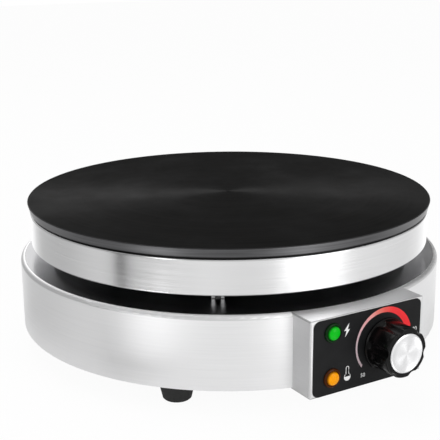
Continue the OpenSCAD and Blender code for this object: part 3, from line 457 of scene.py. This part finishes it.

# Painted shade in part: the floor's near-black colour stands for the shade in the gap under the pan
tinted_shaded_floor = metal_finish(
    "heat_tinted_floor", (0.045, 0.045, 0.05), 0.55, grain=900, spots=30, variation=0.4
)
dress(tinted_shaded_floor, "pan_floor")


# ---- Upper skirt ----
# A band of stainless sheet, rolled round, seam-welded at the back and brushed along its
# length, with its edges turned in at the top and the bottom.

# How level a sheet lies, from an upright wall at 0 to a flat top at 1: where it starts to
# be a bend, and where it is flat again
bend_span = (0.02, 0.25)
flat_span = (0.9, 0.97)


def brushed_stainless(name, colour, rough, lean, streak=14, flat_highlight=1.0):
    """Stainless brushed along the sheet: level on the walls, side to side on the top.

    Its bends are painted darker than its walls, as painted shade, and a share over 1 for the flats
    paints them lighter, as a painted highlight.
    """
    material, tree, shader = finish(name, metal=1.0, rough=rough, Anisotropic=lean)
    place = place_in(tree)
    normal = new_node(tree, "NewGeometry").outputs["Normal"]
    level = calculate(tree, "ABSOLUTE", split(tree, normal)["Z"])
    parts = split(tree, place)
    over_grain = calculate(tree, "MULTIPLY_ADD", parts["Y"], level, parts["Z"])
    lines = []
    for grain in (3200, 700):
        spot = joined(
            tree,
            X=calculate(tree, "MULTIPLY", parts["X"], streak),
            Y=calculate(tree, "MULTIPLY", parts["Y"], streak),
            Z=calculate(tree, "MULTIPLY", over_grain, grain),
        )
        lines.append(noise(tree, spot, detail=2, rough=0.6))
    smudges = noise(tree, place, scale=18, detail=4, rough=0.55)
    streaks = calculate(tree, "MULTIPLY", calculate(tree, "ADD", lines[0], lines[1]), 0.5)
    brushed = mottled(tree, streaks, shaded(colour, 0.95), colour, span=(0.35, 0.65))
    # Painted shade: the bends are painted darker. Painted highlight: where asked, the flats are
    # painted lighter
    past_wall = between(tree, level, 0, 1, bend_span)
    before_flat = between(tree, level, 1, 0, flat_span)
    bend_shade_mask = calculate(tree, "MULTIPLY", past_wall, before_flat)
    bent = mixed(tree, bend_shade_mask, brushed, shaded(colour, 0.72))
    flat_highlight_mask = between(tree, level, 0, 1, flat_span) if flat_highlight > 1 else 0.0
    sheet = mixed(tree, flat_highlight_mask, bent, shaded(colour, flat_highlight))
    rubbed = between(tree, smudges, rough - 0.025, rough + 0.025)
    scratched = calculate(tree, "ADD", between(tree, streaks, -0.035, 0.035), rubbed)
    paint(tree, shader, sheet, scratched)
    over = joined(tree, Y=level, Z=opposite(tree, level))
    tree.links.new(over, shader.inputs["Tangent"])
    relief(tree, shader, lines[0], depth=0.000010, strength=0.4)
    return material


band_steel = brushed_stainless("brushed_band", (0.80, 0.80, 0.805), rough=0.24, lean=0.72)
dress(band_steel, "upper_skirt")


# ---- Drum ----
# A deeper band of the same sheet, rolled and seam-welded, with a bent shoulder at the top.
# It's brushed with a coarser belt than the skirt, so its reflections run together more.
drum_steel = brushed_stainless("brushed_drum", (0.87, 0.87, 0.875), rough=0.46, lean=0.55)
dress(drum_steel, "drum_shell")


# ---- Stand-offs ----
# Three folded channels of bright stainless hold the pan over the drum's top, each by a
# black screw and a plated nut at both ends. Only the lips along the outer face keep the
# steel's colour; a channel's inside and foot are painted near black, as painted shade.
channel_painted_shade = (0.10, 0.10, 0.098)
lip_dull = (0.62, 0.62, 0.62)
lip_bright = (0.70, 0.70, 0.70)
lip_r = 0.1655
lip_span = (lip_r - 0.0006, lip_r + 0.0006)
foot_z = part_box("stand_offs")[0].z
foot_shade_span = (foot_z + 0.0002, foot_z + 0.0012)

bracket_steel, tree, shader = finish("bright_bracket", metal=1.0, rough=0.16)
place = place_in(tree)
smears = noise(tree, place, scale=60, detail=4, rough=0.6)
grain = noise(tree, place, scale=2000, detail=2, rough=0.6)
# Painted shade: away from the lips, and at the foot, the channel is painted near black
on_lips = between(tree, off_axis(tree), 0, 1, lip_span)
above_foot_shade = between(tree, split(tree, place)["Z"], 0, 1, foot_shade_span)
bright = calculate(tree, "MULTIPLY", on_lips, above_foot_shade)
bracket_colour = mixed(tree, bright, channel_painted_shade, mottled(tree, smears, lip_dull, lip_bright))
paint(tree, shader, bracket_colour, between(tree, smears, 0.10, 0.22))
relief(tree, shader, grain, depth=0.00002, strength=0.4)
dress(bracket_steel, "stand_offs")

# Black oxide, dark also as painted shade: these screws sit in the shade under the pan and under the
# drum
black_oxide_and_shade = metal_finish(
    "black_oxide_and_shade", (0.03, 0.03, 0.033), 0.4, grain=1200, spots=200, variation=0.3
)
dress(black_oxide_and_shade, "stand_off_screws")
dress(zinc_plate, "stand_off_nuts")


# ---- Conduit and leads ----
# A plated tube, flanged on the pan floor and held by a nut under the drum's top, brings
# four leads across the air gap. The leads run in braided glass-fibre sleeves.
dress(zinc_plate, "wiring_conduit", "conduit_nut")

sleeve, tree, shader = finish("glass_fibre_sleeve", rough=0.8)
strands = {"Vector": place_in(tree), "Scale": 900, "Distortion": 3.0}
braid = new_node(tree, "TexWave", strands, bands_direction="DIAGONAL").outputs["Fac"]
paint(tree, shader, mixed(tree, braid, (0.62, 0.59, 0.50), (0.88, 0.86, 0.78)))
relief(tree, shader, braid, depth=0.0001, strength=0.7)
dress(sleeve, "element_leads")


# ---- Drum top ----
# A disc of bright-rolled stainless, let into the drum's seat so that it lies flush. It
# mirrors whatever stands above it.
bright_steel, tree, shader = finish("bright_rolled", metal=1.0, rough=0.2, Anisotropic=0.3)
place = place_in(tree)
rolling = noise(tree, stretched(tree, place, (12, 2400, 2400)), detail=2, rough=0.6)
smears = noise(tree, place, scale=22, detail=5, rough=0.6)
rolled = mottled(tree, rolling, (0.44, 0.44, 0.45), (0.49, 0.49, 0.50))
paint(tree, shader, rolled, between(tree, smears, 0.20, 0.27))
relief(tree, shader, rolling, depth=0.000006, strength=0.4)
dress(bright_steel, "drum_top")


# ---- Control box ----
# A stainless housing, folded from one sheet and satin-brushed, that stands out of the
# drum's front. It is open at the back, where its edges end on the drum.
# The box's top is painted lighter than its walls, as a painted highlight
box_steel = brushed_stainless(
    "satin_box", (0.68, 0.68, 0.685), rough=0.42, lean=0.5, streak=30, flat_highlight=1.3
)
dress(box_steel, "control_box")


# ---- Front label ----
# A black polyester overlay with a fine satin grain, printed from behind and glued to the
# box's front. The thermostat's bush and the lamps come through it.
overlay, tree, shader = finish("satin_black_overlay", rough=0.42, Specular_IOR_Level=0.1)
place = place_in(tree)
grain = noise(tree, place, scale=2600, detail=2, rough=0.6)
clouds = noise(tree, place, scale=60, detail=3, rough=0.5)
film = mottled(tree, clouds, (0.0075, 0.0077, 0.0082), (0.0115, 0.0117, 0.0125))
paint(tree, shader, film, between(tree, grain, 0.36, 0.5))
relief(tree, shader, grain, depth=0.00003, strength=0.6)
dress(overlay, "label_panel")


# ---- Prints on the label ----
# The heat scale, a mains sign, a heat sign and the scale's two numbers, in thin ink. The
# scale is a crescent round the knob, widest and reddest at its hot end.
ink_t = 0.00006
ink_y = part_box("label_panel")[0].y - 0.00001
# The scale is drawn round the knob's axis, which is its cap's
cap_low, cap_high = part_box("knob_cap")
knob_x = (cap_low.x + cap_high.x) / 2
knob_z = (cap_low.z + cap_high.z) / 2


def on_label(name, outline, material):
    """A print with the given outline, as (x, z) points on the label's front."""
    mesh = bpy.data.meshes.new(name)
    count = len(outline)
    front = [(x, ink_y - ink_t, z) for x, z in outline]
    back = [(x, ink_y, z) for x, z in outline]
    sides = [(i, (i + 1) % count, count + (i + 1) % count, count + i) for i in range(count)]
    faces = [tuple(range(count)), tuple(range(2 * count - 1, count - 1, -1))]
    mesh.from_pydata(front + back, [], faces + sides)
    made = bmesh.new()
    made.from_mesh(mesh)
    bmesh.ops.recalc_face_normals(made, faces=made.faces)
    made.to_mesh(mesh)
    made.free()
    mesh.materials.append(material)
    piece = bpy.data.objects.new(name, mesh)
    scene.collection.objects.link(piece)
    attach(piece, "base")


def arc(cx, cz, r, start, end, steps):
    """Points on part of a circle, from one turn to another in degrees."""
    turns = [math.radians(start + (end - start) * i / steps) for i in range(steps + 1)]
    return [(cx + r * math.cos(a), cz + r * math.sin(a)) for a in turns]


# The ink of the scale by the turn round the knob, in degrees from its right side
heat_tones = [
    (30, (0.93, 0.040, 0.048)), (75, (0.92, 0.050, 0.056)), (90, (0.86, 0.110, 0.096)),
    (102, (0.82, 0.200, 0.165)), (120, (0.87, 0.36, 0.34)), (132, (0.78, 0.40, 0.41)),
    (156, (0.63, 0.44, 0.47)), (175, (0.60, 0.48, 0.51)), (221, (0.60, 0.48, 0.51)),
]
full_turn = 2 * math.pi
heat_ink, tree, shader = finish("heat_scale_ink", rough=0.45, Specular_IOR_Level=0.05)
parts = split(tree, place_in(tree))
across_knob = calculate(tree, "SUBTRACT", parts["X"], knob_x)
above_knob = calculate(tree, "SUBTRACT", parts["Z"], knob_z)
along = calculate(tree, "ARCTAN2", above_knob, across_knob)
# Here a turn counts from straight below, a quarter of a turn before the right side
past_below = calculate(tree, "ADD", along, 1.25 * full_turn)
from_below = calculate(tree, "MODULO", past_below, full_turn)
heat_stops = [(0.25 + turned / 360, tone) for turned, tone in heat_tones]
pink = ramp(tree, calculate(tree, "DIVIDE", from_below, full_turn), heat_stops)
paint(tree, shader, pink)

scale_from = 219
scale_to = 15
scale_steps = 72


def scale_edge(off_x, off_z, r):
    """An edge of the crescent: part of a circle whose middle is off the knob's axis."""
    return arc(knob_x + off_x, knob_z + off_z, r, scale_from, scale_to, scale_steps)


outer_edge = scale_edge(-0.0012, 0.0021, 0.03044)
inner_edge = scale_edge(-0.00354, 0.0018, 0.02635)
on_label("heat_scale", outer_edge + inner_edge[::-1], heat_ink)

ink_white = (0.92, 0.92, 0.92)
white_ink, tree, shader = finish("white_ink", rough=0.45, Specular_IOR_Level=0.1)
specks = noise(tree, place_in(tree), scale=3000, detail=2)
paint(tree, shader, mottled(tree, specks, shaded(ink_white, 0.93), ink_white))

# The two signs are drawn in millimetres, each round its own middle
bolt_at = (-0.0233, knob_z + 0.0204)
flask_at = (-0.0217, knob_z - 0.0188)
neck_top = 4.9
bulb_middle = -3.2


def sign_at(middle, points):
    return [(middle[0] + x / 1000, middle[1] + z / 1000) for x, z in points]


def flask(neck_r, neck_foot, bulb_r):
    """A flask's outline: a neck with a round top on a round bulb."""
    neck = [(-neck_r, neck_foot)] + arc(0, neck_top, neck_r, 180, 0, 10) + [(neck_r, neck_foot)]
    return neck + arc(0, bulb_middle, bulb_r, 50, -230, 30)


bolt = [(2.2, 5.9), (-3.0, -0.4), (-0.5, -0.4), (-1.8, -5.9), (3.0, 0.4), (0.7, 0.4)]
glass = flask(1.7, -0.8, 3.45) + flask(1.15, -0.4, 2.95)[::-1]
liquid = arc(0, bulb_middle, 3.05, 172, 368, 24)
on_label("mains_sign", sign_at(bolt_at, bolt), white_ink)
on_label("heat_sign_outline", sign_at(flask_at, glass), white_ink)
on_label("heat_sign_fill", sign_at(flask_at, liquid), white_ink)


def number_on_label(name, words, x, z, height):
    """A printed number, centred on the place x, z."""
    writing = bpy.data.curves.new(name, "FONT")
    writing.body = words
    writing.size = height
    writing.extrude = ink_t / 2
    writing.align_x = "CENTER"
    writing.align_y = "CENTER"
    maker = bpy.data.objects.new(name + "_curve", writing)
    upright = Matrix.Rotation(math.pi / 2, 4, "X")
    maker.matrix_world = Matrix.Translation((x, ink_y - ink_t / 2, z)) @ upright
    scene.collection.objects.link(maker)
    bpy.context.view_layer.update()
    shape = maker.evaluated_get(bpy.context.evaluated_depsgraph_get())
    mesh = bpy.data.meshes.new_from_object(shape)
    mesh.transform(maker.matrix_world)
    bpy.data.objects.remove(maker)
    mesh.materials.clear()
    mesh.materials.append(white_ink)
    piece = bpy.data.objects.new(name, mesh)
    scene.collection.objects.link(piece)
    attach(piece, "base")


number_on_label("scale_low_number", "50", x=-0.0050, z=knob_z - 0.0245, height=0.0050)
number_on_label("scale_high_number", "300", x=0.0497, z=knob_z + 0.0058, height=0.0052)


# ---- Pilot lamps ----
# Two clear-coloured mouldings, each a flat flange and a domed middle, sit in nylon holders
# that blued spring clips hold behind the front. The light in a holder shows through the
# dome, and the rim stays dark.
def turned_piece(name, centre, profile, segments=64):
    """A turned shape about a line along Y: profile points are (radius, distance out)."""
    turns = [2 * math.pi * i / segments for i in range(segments)]
    made = bmesh.new()
    rings = []
    for r, out in profile:
        y = centre.y - out
        if r == 0:
            spots = [(centre.x, y, centre.z)]
        else:
            spots = [(centre.x + r * math.cos(a), y, centre.z + r * math.sin(a)) for a in turns]
        rings.append([made.verts.new(spot) for spot in spots])
    for first, second in zip(rings, rings[1:]):
        for i in range(segments):
            j = (i + 1) % segments
            corners = [first[i % len(first)], first[j % len(first)]]
            corners += [second[j % len(second)], second[i % len(second)]]
            made.faces.new(list(dict.fromkeys(corners)))
    bmesh.ops.recalc_face_normals(made, faces=made.faces)
    mesh = bpy.data.meshes.new(name)
    made.to_mesh(mesh)
    made.free()
    mesh.shade_smooth()
    mesh.set_sharp_from_angle(angle=math.radians(40))
    piece = bpy.data.objects.new(name, mesh)
    scene.collection.objects.link(piece)
    return piece


flange_t = 0.0019
ditch_t = 0.0014
dome_r = 0.0060
dome_foot = 0.0018
# Out to here a lamp's middle glows, and from there on its rim is dark
core_span = (0.0050, 0.0063)
core_glow = 0.40


def lit_lens(name, centre, core, rim):
    material, tree, shader = finish(name, rough=0.22, Specular_IOR_Level=0.1)
    moved = combine(tree, "SUBTRACT", place_in(tree), centre)
    away = length(tree, stretched(tree, moved, (1, 0, 1)))
    in_core = between(tree, away, 1, 0, core_span)
    cells = noise(tree, moved, scale=700, detail=1)
    glow_now = mottled(tree, cells, shaded(core, 0.85), core)
    glow_strength = calculate(tree, "MULTIPLY", in_core, core_glow)
    paint(tree, shader, mixed(tree, in_core, rim, glow_now))
    tree.links.new(glow_now, shader.inputs["Emission Color"])
    tree.links.new(glow_strength, shader.inputs["Emission Strength"])
    relief(tree, shader, cells, depth=0.00008, strength=0.4)
    return material


def pilot_lamp(name, node, core, rim):
    """A lamp's moulding in the place of its solid, lit in the core's colour."""
    low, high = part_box(node)
    centre = Vector(((low.x + high.x) / 2, high.y, (low.z + high.z) / 2))
    r = (high.x - low.x) / 2
    h = high.y - low.y
    flange = [
        (0, 0), (r - 0.0002, 0), (r, 0.0003), (r, 0.0009), (r - 0.0004, 0.0015),
        (r - 0.0011, flange_t),
    ]
    ditch = [(dome_r + 0.0009, flange_t), (dome_r + 0.0005, 0.0015), (dome_r + 0.0001, ditch_t)]
    dome_turns = [math.radians(a) for a in range(0, 90, 10)]
    dome = [(dome_r * math.cos(a), dome_foot + (h - dome_foot) * math.sin(a)) for a in dome_turns]
    piece = turned_piece(name, centre, flange + ditch + dome + [(0, h)])
    piece.data.materials.append(lit_lens(name + "_moulding", centre, core, rim))
    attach(piece, "base")
    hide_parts(node)


green_core, green_rim = (0.001, 0.38, 0.008), (0.0008, 0.020, 0.002)
amber_core, amber_rim = (0.74, 0.27, 0.001), (0.055, 0.013, 0.001)
pilot_lamp("power_lamp_moulding", "power_lamp_lens", green_core, green_rim)
pilot_lamp("heating_lamp_moulding", "heating_lamp_lens", amber_core, amber_rim)

nylon, tree, shader = finish("natural_nylon", rough=0.5)
cloudy = noise(tree, place_in(tree), scale=200, detail=3)
paint(tree, shader, mottled(tree, cloudy, (0.66, 0.64, 0.58), (0.76, 0.74, 0.68)))
dress(nylon, "lamp_holders")
blued = metal_finish("blued_spring", (0.20, 0.24, 0.34), 0.3, spots=300, variation=0.5)
dress(blued, "lamp_clips")


# ---- Thermostat ----
# A phenolic switch block behind the front, with a turned brass spindle. A plated nut on
# its threaded bush clamps it to the front.
phenolic, tree, shader = finish("brown_phenolic", rough=0.4)
flecks = noise(tree, place_in(tree), scale=900, detail=4, rough=0.7)
paint(tree, shader, mottled(tree, flecks, (0.05, 0.028, 0.018), (0.11, 0.065, 0.045)))
dress(phenolic, "thermostat_body")
dress(zinc_plate, "thermostat_nut")
brass = metal_finish("turned_brass", (0.80, 0.60, 0.28), 0.25, grain=2500, spots=90, variation=0.2)
dress(brass, "thermostat_spindle")


# ---- Knob ----
# A black phenolic moulding with six finger scallops between broad lobes, on a thin base
# skirt that carries the pointer. It is hollow, with a hub that takes the spindle and the
# blued clip on its flat.
grip_back_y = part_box("knob_grip")[1].y
grip_l = grip_back_y - cap_high.y
grip_r = 0.0218
cap_r = (cap_high.x - cap_low.x) / 2
# The first scallop is at scallop_turn. Each is cut by a circle of radius scallop_cut,
# whose middle lies scallop_far from the knob's axis
scallops = 6
scallop_turn = 51
scallop_far = 0.0254
scallop_cut = 0.0060
around = 30 * scallops
# The lobes' corners are rounded over this width, and fall by this share of it
lobe_round = 0.0007
lobe_fall = 0.25
# The pointer stands out of the base skirt, opposite the first scallop
pointer_turn = scallop_turn + 180
pointer_half_turn = 5.5
pointer_l = 0.0012
pointer_t = 0.0018
# The hollow behind the grip, and the hub in it with the spindle's bore
back_r = 0.0156
back_depth = grip_l - 0.0032
hub_r = 0.0065
hub_back = 0.0035
bore_r = 0.00305

# (distance out of the knob's back, radius, how far the scallops are cut): the base skirt,
# the wall that rises from it, and its rounded front edge
base_rings = [
    (0.0000, 0.0223, 0), (0.0003, 0.0227, 0), (0.0009, 0.0229, 0), (0.0014, 0.0228, 0),
    (0.0018, 0.0224, 0), (0.0023, 0.0221, 0),
]
wall_rings = [
    (0.0028, 0.02195, 0.05), (0.0035, 0.0219, 0.25), (0.0045, 0.02185, 0.6), (0.0056, grip_r, 0.85),
    (0.0070, grip_r, 0.97), (0.0150, grip_r, 1), (0.0200, grip_r, 1), (grip_l - 0.0010, grip_r, 1),
]
edge_rings = [
    (grip_l - 0.0005, grip_r - 0.0002, 1), (grip_l - 0.0002, grip_r - 0.0005, 1),
    (grip_l - 0.00005, grip_r - 0.0008, 1), (grip_l, grip_r - 0.0012, 1),
]
# (distance out of the back, radius): the recess for the cap, then the hollow and the hub
recess = [
    (grip_l, cap_r + 0.0004), (grip_l - 0.0003, cap_r + 0.0002), (grip_l - 0.0004, cap_r - 0.001),
]
hollow = [
    (0.0, back_r), (back_depth, back_r - 0.0004), (back_depth, hub_r), (hub_back, hub_r),
    (hub_back, bore_r), (back_depth, bore_r),
]


def scalloped(r, turned, depth):
    """The grip's outline: a circle with round scallops, rounded where they meet."""
    step = 360 / scallops
    off = math.radians((turned - scallop_turn + step / 2) % step - step / 2)
    inside = scallop_cut ** 2 - (scallop_far * math.sin(off)) ** 2
    if inside <= 0:
        return r
    dip = scallop_far * math.cos(off) - math.sqrt(inside)
    dip = r + (dip - r) * depth if dip < r else dip
    gap = max(lobe_round - abs(r - dip), 0) / lobe_round
    return min(r, dip) - gap * gap * lobe_round * lobe_fall * depth


def knob_outline(out, r, turned, depth):
    """The same, with the pointer that the base skirt carries."""
    reach = scalloped(r, turned, depth)
    if out < pointer_t:
        off = abs((turned - pointer_turn + 180) % 360 - 180)
        reach += pointer_l * max(0, 1 - off / pointer_half_turn)
    return reach


made = bmesh.new()


def knob_ring(out, r, depth=None):
    """Corners round the knob at a distance out of its back; a depth cuts the scallops."""
    ring = []
    for i in range(around):
        turned = 360 * i / around
        reach = r if depth is None else knob_outline(out, r, turned, depth)
        a = math.radians(turned)
        spot = (knob_x + reach * math.cos(a), grip_back_y - out, knob_z + reach * math.sin(a))
        ring.append(made.verts.new(spot))
    return ring


outside = [knob_ring(out, r, depth) for out, r, depth in base_rings + wall_rings + edge_rings]
outside += [knob_ring(out, r) for out, r in recess]
inside = [outside[0]] + [knob_ring(out, r) for out, r in hollow]
for rings in (outside, inside):
    for first, second in zip(rings, rings[1:]):
        for i in range(around):
            j = (i + 1) % around
            made.faces.new((first[i], first[j], second[j], second[i]))
made.faces.new(inside[-1])
made.faces.new(outside[-1])
bmesh.ops.recalc_face_normals(made, faces=made.faces)
knob_mesh = bpy.data.meshes.new("knob_moulding")
made.to_mesh(knob_mesh)
made.free()
knob_mesh.shade_smooth()
knob_mesh.set_sharp_from_angle(angle=math.radians(50))
knob_moulding = bpy.data.objects.new("knob_moulding", knob_mesh)
scene.collection.objects.link(knob_moulding)

knob_black, tree, shader = finish("black_moulding", rough=0.22, Specular_IOR_Level=0.14)
place = place_in(tree)
handled = noise(tree, place, scale=130, detail=4, rough=0.6)
orange_peel = noise(tree, place, scale=500, detail=2, rough=0.5)
blacks = mottled(tree, handled, (0.0012, 0.0012, 0.0013), (0.0024, 0.0024, 0.0025))
paint(tree, shader, blacks, between(tree, handled, 0.19, 0.25))
relief(tree, shader, orange_peel, depth=0.00002, strength=0.5)
knob_mesh.materials.append(knob_black)
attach(knob_moulding, "knob")
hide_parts("knob_grip")
dress(blued, "knob_clip")


# ---- Knob cap ----
# A spun aluminium disc glued into the front of the grip: fine circular turning marks, a
# raised rim and a bright bevel.
cap_back = Vector((knob_x, cap_high.y, knob_z))
cap_t = cap_high.y - cap_low.y
cap_profile = [
    (0, 0), (cap_r - 0.0001, 0), (cap_r, 0.0002), (cap_r, 0.0005), (cap_r - 0.0007, cap_t - 0.0001),
    (cap_r - 0.0009, cap_t), (cap_r - 0.0015, cap_t), (cap_r - 0.0019, cap_t - 0.0001),
    (cap_r - 0.0023, cap_t - 0.0003), (cap_r * 0.6, cap_t - 0.00032), (0, cap_t - 0.00034),
]
knob_disc = turned_piece("knob_disc", cap_back, cap_profile, segments=160)
spun_aluminium, tree, shader = finish("spun_aluminium", metal=1.0, rough=0.3, Anisotropic=0.85)
flat = stretched(tree, combine(tree, "SUBTRACT", place_in(tree), cap_back), (1, 0, 1))
grooves = noise(tree, joined(tree, X=length(tree, flat)), scale=5200, detail=2, rough=0.6)
spun = mottled(tree, grooves, (0.745, 0.745, 0.755), (0.84, 0.84, 0.845))
paint(tree, shader, spun, between(tree, grooves, 0.24, 0.34))
tree.links.new(flat, shader.inputs["Tangent"])
relief(tree, shader, grooves, depth=0.00001, strength=0.5)
knob_disc.data.materials.append(spun_aluminium)
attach(knob_disc, "knob")
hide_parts("knob_cap")


# ---- Cord entry and terminals ----
# A black nylon gland at the back, with its locknut inside the drum. Behind it, a ceramic
# block with brass pole screws is screwed down on the base cover.
black_nylon, tree, shader = finish("black_nylon", rough=0.5, Specular_IOR_Level=0.4)
sparks = noise(tree, place_in(tree), scale=1100, detail=3, rough=0.6)
nylon_black = mottled(tree, sparks, (0.010, 0.010, 0.0105), (0.018, 0.018, 0.019))
paint(tree, shader, nylon_black, between(tree, sparks, 0.44, 0.58))
relief(tree, shader, sparks, depth=0.00006, strength=0.5)
dress(black_nylon, "cable_gland", "gland_locknut")
dress(porcelain, "terminal_block")
dress(brass, "terminal_screws")
dress(zinc_plate, "block_screws")


# ---- Base cover ----
# A disc of aluminised sheet with cooling slots closes the drum from below. Black screws
# hold it to the drum's bottom flange.
dress(aluminised, "base_cover")
# The cover screws' black is partly painted shade under the drum
dress(black_oxide_and_shade, "cover_screws")


# ---- Feet ----
# Four moulded rubber feet, each held by one plated screw from below. The screw goes
# through the base cover, and its nut sits on the cover.
foot_rubber, tree, shader = finish("black_rubber", rough=0.72, Specular_IOR_Level=0.3)
place = place_in(tree)
dust = noise(tree, place, scale=240, detail=5, rough=0.65)
pores = noise(tree, place, scale=1800, detail=3, rough=0.6)
rubber_black = mottled(tree, dust, (0.017, 0.017, 0.017), (0.034, 0.034, 0.034))
paint(tree, shader, rubber_black, between(tree, dust, 0.62, 0.82))
relief(tree, shader, pores, depth=0.00008, strength=0.5)
dress(foot_rubber, "foot_front_left", "foot_front_right", "foot_rear_left", "foot_rear_right")
dress(zinc_plate, "foot_screws", "foot_nuts")
